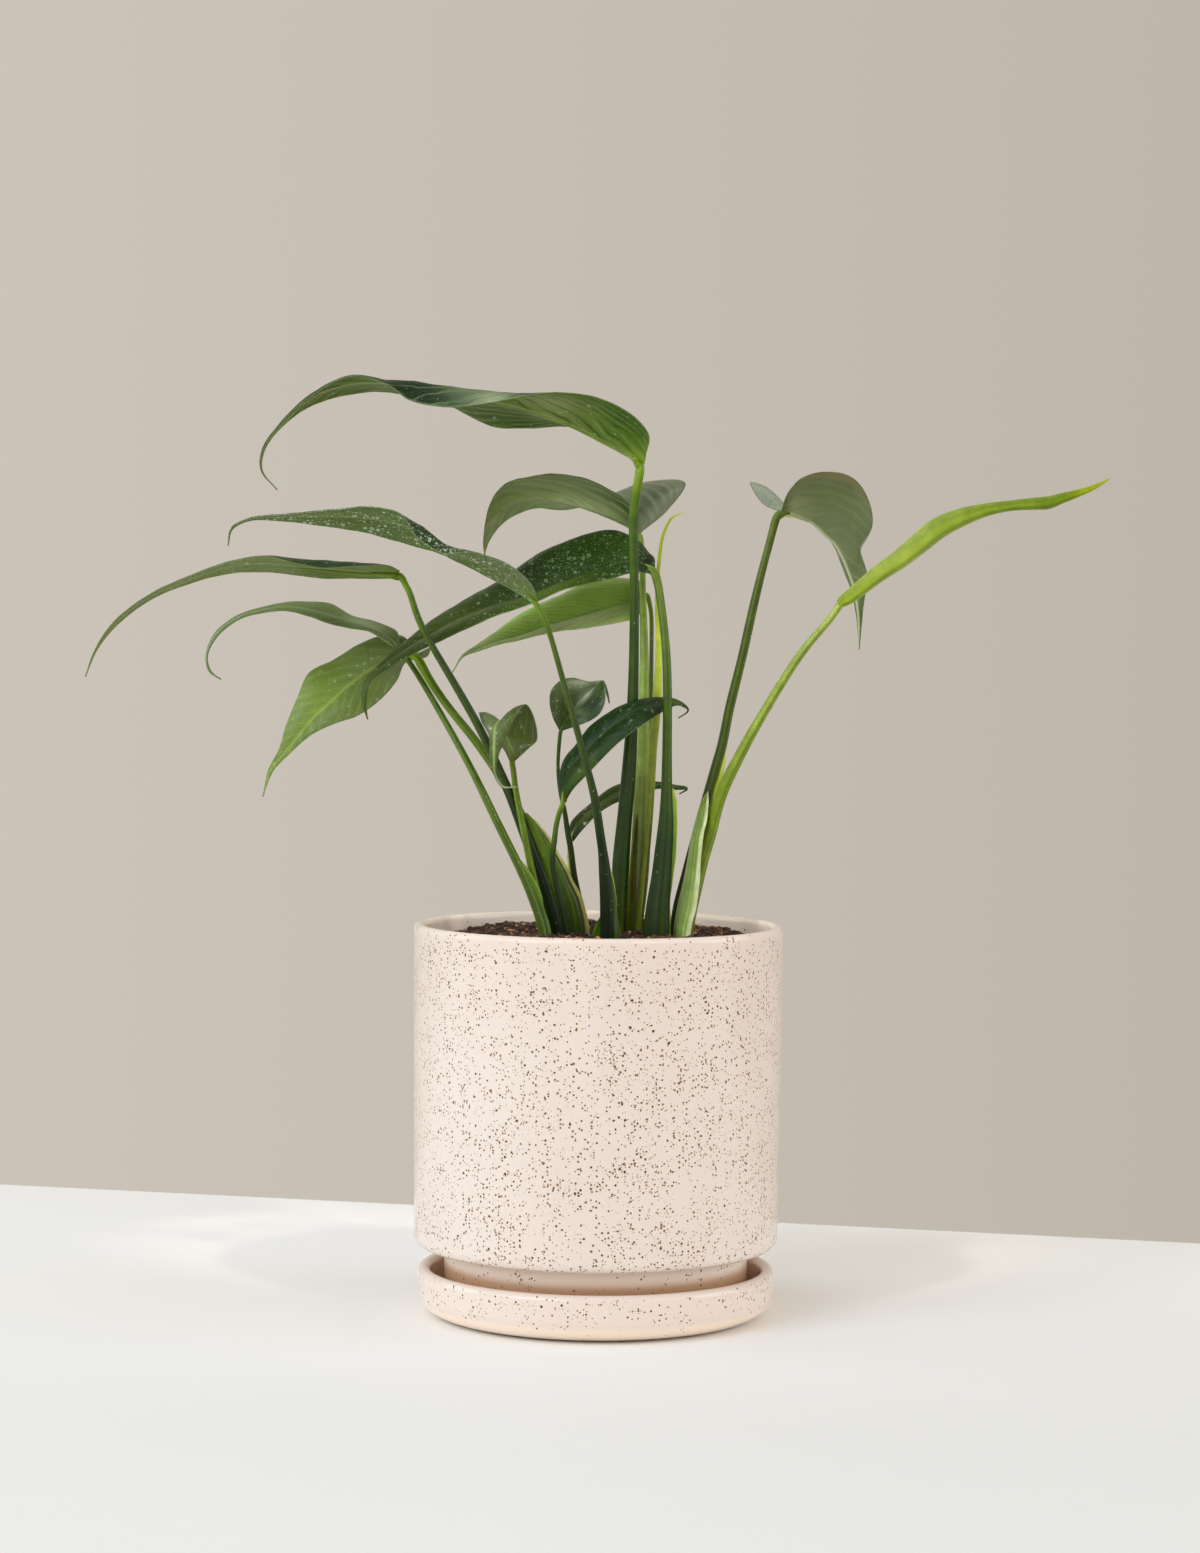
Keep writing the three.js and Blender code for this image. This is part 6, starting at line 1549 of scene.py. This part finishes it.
def add_blade(build, name, shape, look):
    grid, middle, widths, index, across = blade_grid(shape["blade"], BLADE_ROWS, BLADE_COLUMNS)
    normals = sheet_normals(grid)
    run = arc_lengths(middle)
    phase = sum(ord(letter) for letter in name)
    fade = np.sin(np.linspace(0, math.pi, BLADE_ROWS)) ** 0.5
    size = np.where(across[None] < 0, widths[:, :1], widths[:, 1:])
    ripple = np.sin(run[:, None] * 2 * math.pi / RIPPLE_LENGTH + phase + (across[None] > 0) * 2.1)
    ripple = ripple + 0.5 * np.sin(run[:, None] * 2 * math.pi / (RIPPLE_LENGTH * 0.43) + 2 * phase)
    lift = RIPPLE * ripple * fade[:, None] * np.abs(across)[None] ** 3 * np.clip(size / 12, 0, 1)
    off = size * across[None]
    veins = look["veins"]
    swept = (run[:, None] - np.abs(off) * veins["sweep"]) / veins["spacing"]
    period = veins["spacing"] / math.hypot(1, veins["sweep"])
    pleat = PLEAT_SHARE * period * np.cos(2 * math.pi * swept)
    pleat = pleat * np.clip(np.abs(off) / 3, 0, 1) * (1 - np.abs(across)[None] ** 4)
    grid = grid + normals * (lift + pleat)[..., None]
    taper = 1 - 0.5 * np.abs(across)[None] ** 6
    half = BLADE_THICKNESS / 2 * taper * np.ones((BLADE_ROWS, 1))
    runs = np.tile(run[:, None], (1, BLADE_COLUMNS))
    places = np.stack([runs, off, np.tile(np.abs(across), (BLADE_ROWS, 1))], axis=-1)
    tints = []
    for face in ("upper", "under"):
        patches = look.get(face + "_patches", [])
        tints.append(painted(index, across, look[face], patches, look.get("gain", 1.0)))
    add_sheet(build, grid, half, half, tints, (places, places), (0, 1))
    normals = sheet_normals(grid)
    centre = BLADE_COLUMNS // 2
    end = shape["stalk"][-1]
    share = np.linspace(0, 1, BLADE_ROWS)
    neck = end[3] * 0.92 * np.exp(-run / NECK_FADE)
    radius = np.maximum(neck, RIB_RADIUS * look.get("rib", 1.0) * (1 - share / RIB_REACH))
    radius = np.minimum(radius, neck + 0.12 * widths.sum(axis=1) + 0.1)
    shown = radius * (1 + RIB_DEPTH) > BLADE_THICKNESS / 2 + RIB_SHOWN
    last = max(int(np.argmin(shown)), 4)
    depth = radius * RIB_DEPTH
    centres = grid[:last, centre] - normals[:last, centre] * depth[:last, None]
    top = np.array(skin(STALK_TONES[name][-1][1], STALK_GAINS.get(name, 1.0)))
    rib = np.array(skin(look.get("rib_tone", (118, 140, 72))))

    def tint(place, around):
        weight = min(place * 5, 1)
        return top * (1 - weight) + rib * weight
    add_tube(build, centres, radius[:last], radius[:last], 12, tint, slot=2)


def build_stalk(name, shape):
    build = Builder()
    rings = list(shape["stalk"])
    count = 8 * len(rings)
    centres, widths, depths = resampled(rings, count)
    centres = smooth(centres, STALK_SMOOTHING)
    tint = stalk_tint(STALK_TONES[name], STALK_GAINS.get(name, 1.0))
    if name == "spear":
        add_tube(build, centres, widths, depths, ROLL_SIDES, tint, rolled_outline(ROLL_SIDES))
    else:
        target = np.array(shape["rolled"][0][:3] if "rolled" in shape else shape["blade"][0][0])
        steps = [target]
        reaches, neck_shares = LONG_NECK if name == "long" else NECK
        if "blade" in shape:
            onward = np.array(shape["blade"][1][0]) - target
            onward = onward / np.linalg.norm(onward)
            steps += [target + onward * reach for reach in reaches]
        centres = smooth(np.vstack([centres] + steps), NECK_SMOOTHING)
        shares = np.array(neck_shares[:len(steps)])
        widths = np.concatenate([widths, widths[-1] * shares])
        depths = np.concatenate([depths, depths[-1] * shares])
        add_tube(build, centres, widths, depths, STALK_SIDES, tint)
        for pairs, look in zip(shape.get("sheaths", []), SHEATH_LOOKS.get(name, [])):
            add_sheath(build, pairs, look)
    piece_name = "spear_roll" if name == "spear" else name + "_petiole"
    piece = build.make(piece_name, [stalk_look(piece_name + "_look")])
    node = "spear" if name == "spear" else name + "_stalk"
    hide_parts(node)


def build_leaf(name, shape):
    build = Builder()
    node = name + "_leaf"
    if "rolled" in shape:
        centres, widths, depths = resampled(shape["rolled"], 150)
        tint = stalk_tint(NEW_LEAF_TONES)
        add_tube(build, centres, widths, depths, ROLL_SIDES, tint, rolled_outline(ROLL_SIDES))
        materials = [stalk_look("new_leaf_look", 0.2, 0.45)]
    else:
        look = LOOKS[name]
        add_blade(build, name, shape, look)
        materials = [leaf_look(name + "_upper", look, "upper"), leaf_look(name + "_under", look, "under")]
        materials.append(stalk_look(name + "_midrib"))
    piece = build.make(name + "_blade", materials)
    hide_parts(node)


NEW_LEAF_TONES = [
    (0, (140, 160, 50), (168, 186, 92)), (0.3, (150, 168, 74), (184, 196, 120)),
    (0.6, (124, 146, 58), (156, 174, 90)),
    (0.8, (112, 136, 50), (146, 164, 72)), (0.9, (160, 172, 44), (180, 190, 70)),
    (1, (186, 186, 60), (196, 196, 90)),
]

build_pot()
build_saucer()
build_soil()
for plant_name, plant_entry in PLANT.items():
    plant_shape = placed_shape(plant_entry)
    build_stalk(plant_name, plant_shape)
    if "blade" in plant_shape or "rolled" in plant_shape:
        build_leaf(plant_name, plant_shape)


# Table: its back edge as the photograph shows it and how far it reaches, in millimetres, its level in
# metres, its tones in front and at the back, and where one fades into the other, in millimetres
TABLE_BACK_LEFT = (-1600, 677)
TABLE_BACK_RIGHT = (1600, -114)
TABLE_REACH = 4000
TABLE_LEVEL = -0.0003
TABLE_TONES = ((240, 239, 235), (238, 237, 233))
# The back of the table is painted lighter than the front: painted light.
TABLE_BACK_LIGHT_TONE = (251, 250, 247)
TABLE_FADE = (-260.0, 60.0)
WALL_TONES = ((204, 196, 185), (190, 182, 171))
WALL_SPAN = 0.17
# Area lights: place and target in metres, size in metres, power in watts, colour
KEY_LIGHT = ((-1.5, -1.6, 1.5), (0, 0, 0.2), 1.9, 32.5, (0.69, 0.82, 1))
SOFT_LIGHTS = {
    "low": ((-0.3, -1.9, 0.12), (0, 0, 0.02), 0.7, 2.2, (1, 0.97, 0.93)),
    "fill": ((1.6, -1.8, 1.2), (0, 0, 0.2), 2.0, 6.5, (1, 0.95, 0.8)),
    "overhead": ((-0.15, -0.35, 1.7), (0, 0, 0.15), 0.5, 1.8, (0.8, 0.9, 1)),
    "left": ((-1.9, 0.2, 0.8), (0, 0, 0.15), 1.2, 8, (0.84, 0.96, 1)),
    "right": ((1.9, -0.2, 0.7), (0, 0, 0.1), 1.2, 12, (0.76, 0.86, 1)),
}
# Two narrow spots that reach the pot's inner wall over its rim, by how far they stand to the side
SPOTS = {"inner_left": -0.55, "inner_right": 0.55}
SPOT_ANGLE = 4.6
SPOT_POWER = 110
SPOT_COLOUR = (1, 0.95, 0.88)


def build_table():
    corners = [(-TABLE_REACH, -TABLE_REACH), (TABLE_REACH, -TABLE_REACH), TABLE_BACK_RIGHT, TABLE_BACK_LEFT]
    mesh = bpy.data.meshes.new("table_top")
    mesh.from_pydata([(x * MM, y * MM, TABLE_LEVEL) for x, y in corners], [], [(0, 1, 2, 3)])
    shader = Shader("table_white")
    place = shader.millimetres()
    grain = shader.noise(place, 0.01, 2.0).outputs[0]
    front = shader.mix(grain, *(linear(*tone) for tone in TABLE_TONES))
    # Painted light: the table lighter towards the back.
    depth = shader.step(shader.parts(place)[1], *TABLE_FADE)
    shader.set(Base_Color=shader.mix(depth, front, linear(*TABLE_BACK_LIGHT_TONE)), Roughness=0.7)
    mesh.materials.append(shader.material)
    table = bpy.data.objects.new("table_top", mesh)
    bpy.context.scene.collection.objects.link(table)


def build_wall():
    """The wall is the world itself: a plain pale tone, a little darker to the right."""
    world = bpy.data.worlds.new("studio")
    bpy.context.scene.world = world
    world.use_nodes = True
    tree = world.node_tree
    tree.nodes.clear()
    kinds = ("OutputWorld", "Background", "TexCoord", "SeparateXYZ", "MapRange", "Mix")
    made = [tree.nodes.new("ShaderNode" + kind) for kind in kinds]
    output, background, direction, parts, spread, tone = made
    spread.inputs["From Min"].default_value = -WALL_SPAN
    spread.inputs["From Max"].default_value = WALL_SPAN
    tone.data_type = "RGBA"
    tone.inputs[6].default_value = linear(*WALL_TONES[0])
    tone.inputs[7].default_value = linear(*WALL_TONES[1])
    tree.links.new(direction.outputs["Generated"], parts.inputs[0])
    tree.links.new(parts.outputs[0], spread.inputs["Value"])
    tree.links.new(spread.outputs[0], tone.inputs[0])
    tree.links.new(tone.outputs[2], background.inputs[0])
    tree.links.new(background.outputs[0], output.inputs[0])


def hang(name, data, place, target):
    """Puts a light in its place and turns it to its target."""
    light = bpy.data.objects.new(name, data)
    light.location = place
    light.rotation_euler = (Vector(target) - Vector(place)).to_track_quat("-Z", "Y").to_euler()
    bpy.context.scene.collection.objects.link(light)


def area_light(name, place, target, size, power, colour):
    data = bpy.data.lights.new(name, "AREA")
    data.shape = "DISK"
    data.size = size
    data.energy = power
    data.color = colour
    hang(name, data, place, target)


def inner_spot(name, side):
    data = bpy.data.lights.new(name, "SPOT")
    data.spot_size = math.radians(SPOT_ANGLE)
    data.spot_blend = 1.0
    data.shadow_soft_size = 0.1
    data.energy = SPOT_POWER
    data.color = SPOT_COLOUR
    hang(name, data, (side, -0.75, 1.15), (-0.06 * side, 0.06, 0.148))


def build_light():
    area_light("key", *KEY_LIGHT)
    for name, side in SPOTS.items():
        inner_spot(name, side)
    for name, settings in SOFT_LIGHTS.items():
        area_light(name, *settings)


def build_camera():
    data = bpy.data.cameras.new("camera")
    data.sensor_width = SENSOR
    data.lens = FOCAL_PIXELS * SENSOR / PHOTO_HEIGHT
    data.clip_start = 0.05
    data.clip_end = 50
    camera = bpy.data.objects.new("camera", data)
    aim = Matrix.Rotation(math.radians(90 - CAMERA_PITCH), 4, "X")
    aim = aim @ Matrix.Rotation(math.radians(CAMERA_ROLL), 4, "Z")
    camera.matrix_world = Matrix.Translation((0, -CAMERA_DISTANCE * MM, CAMERA_HEIGHT * MM)) @ aim
    bpy.context.scene.collection.objects.link(camera)
    bpy.context.scene.camera = camera


build_table()
build_wall()
build_light()
build_camera()
bpy.context.scene.view_settings.view_transform = "Standard"
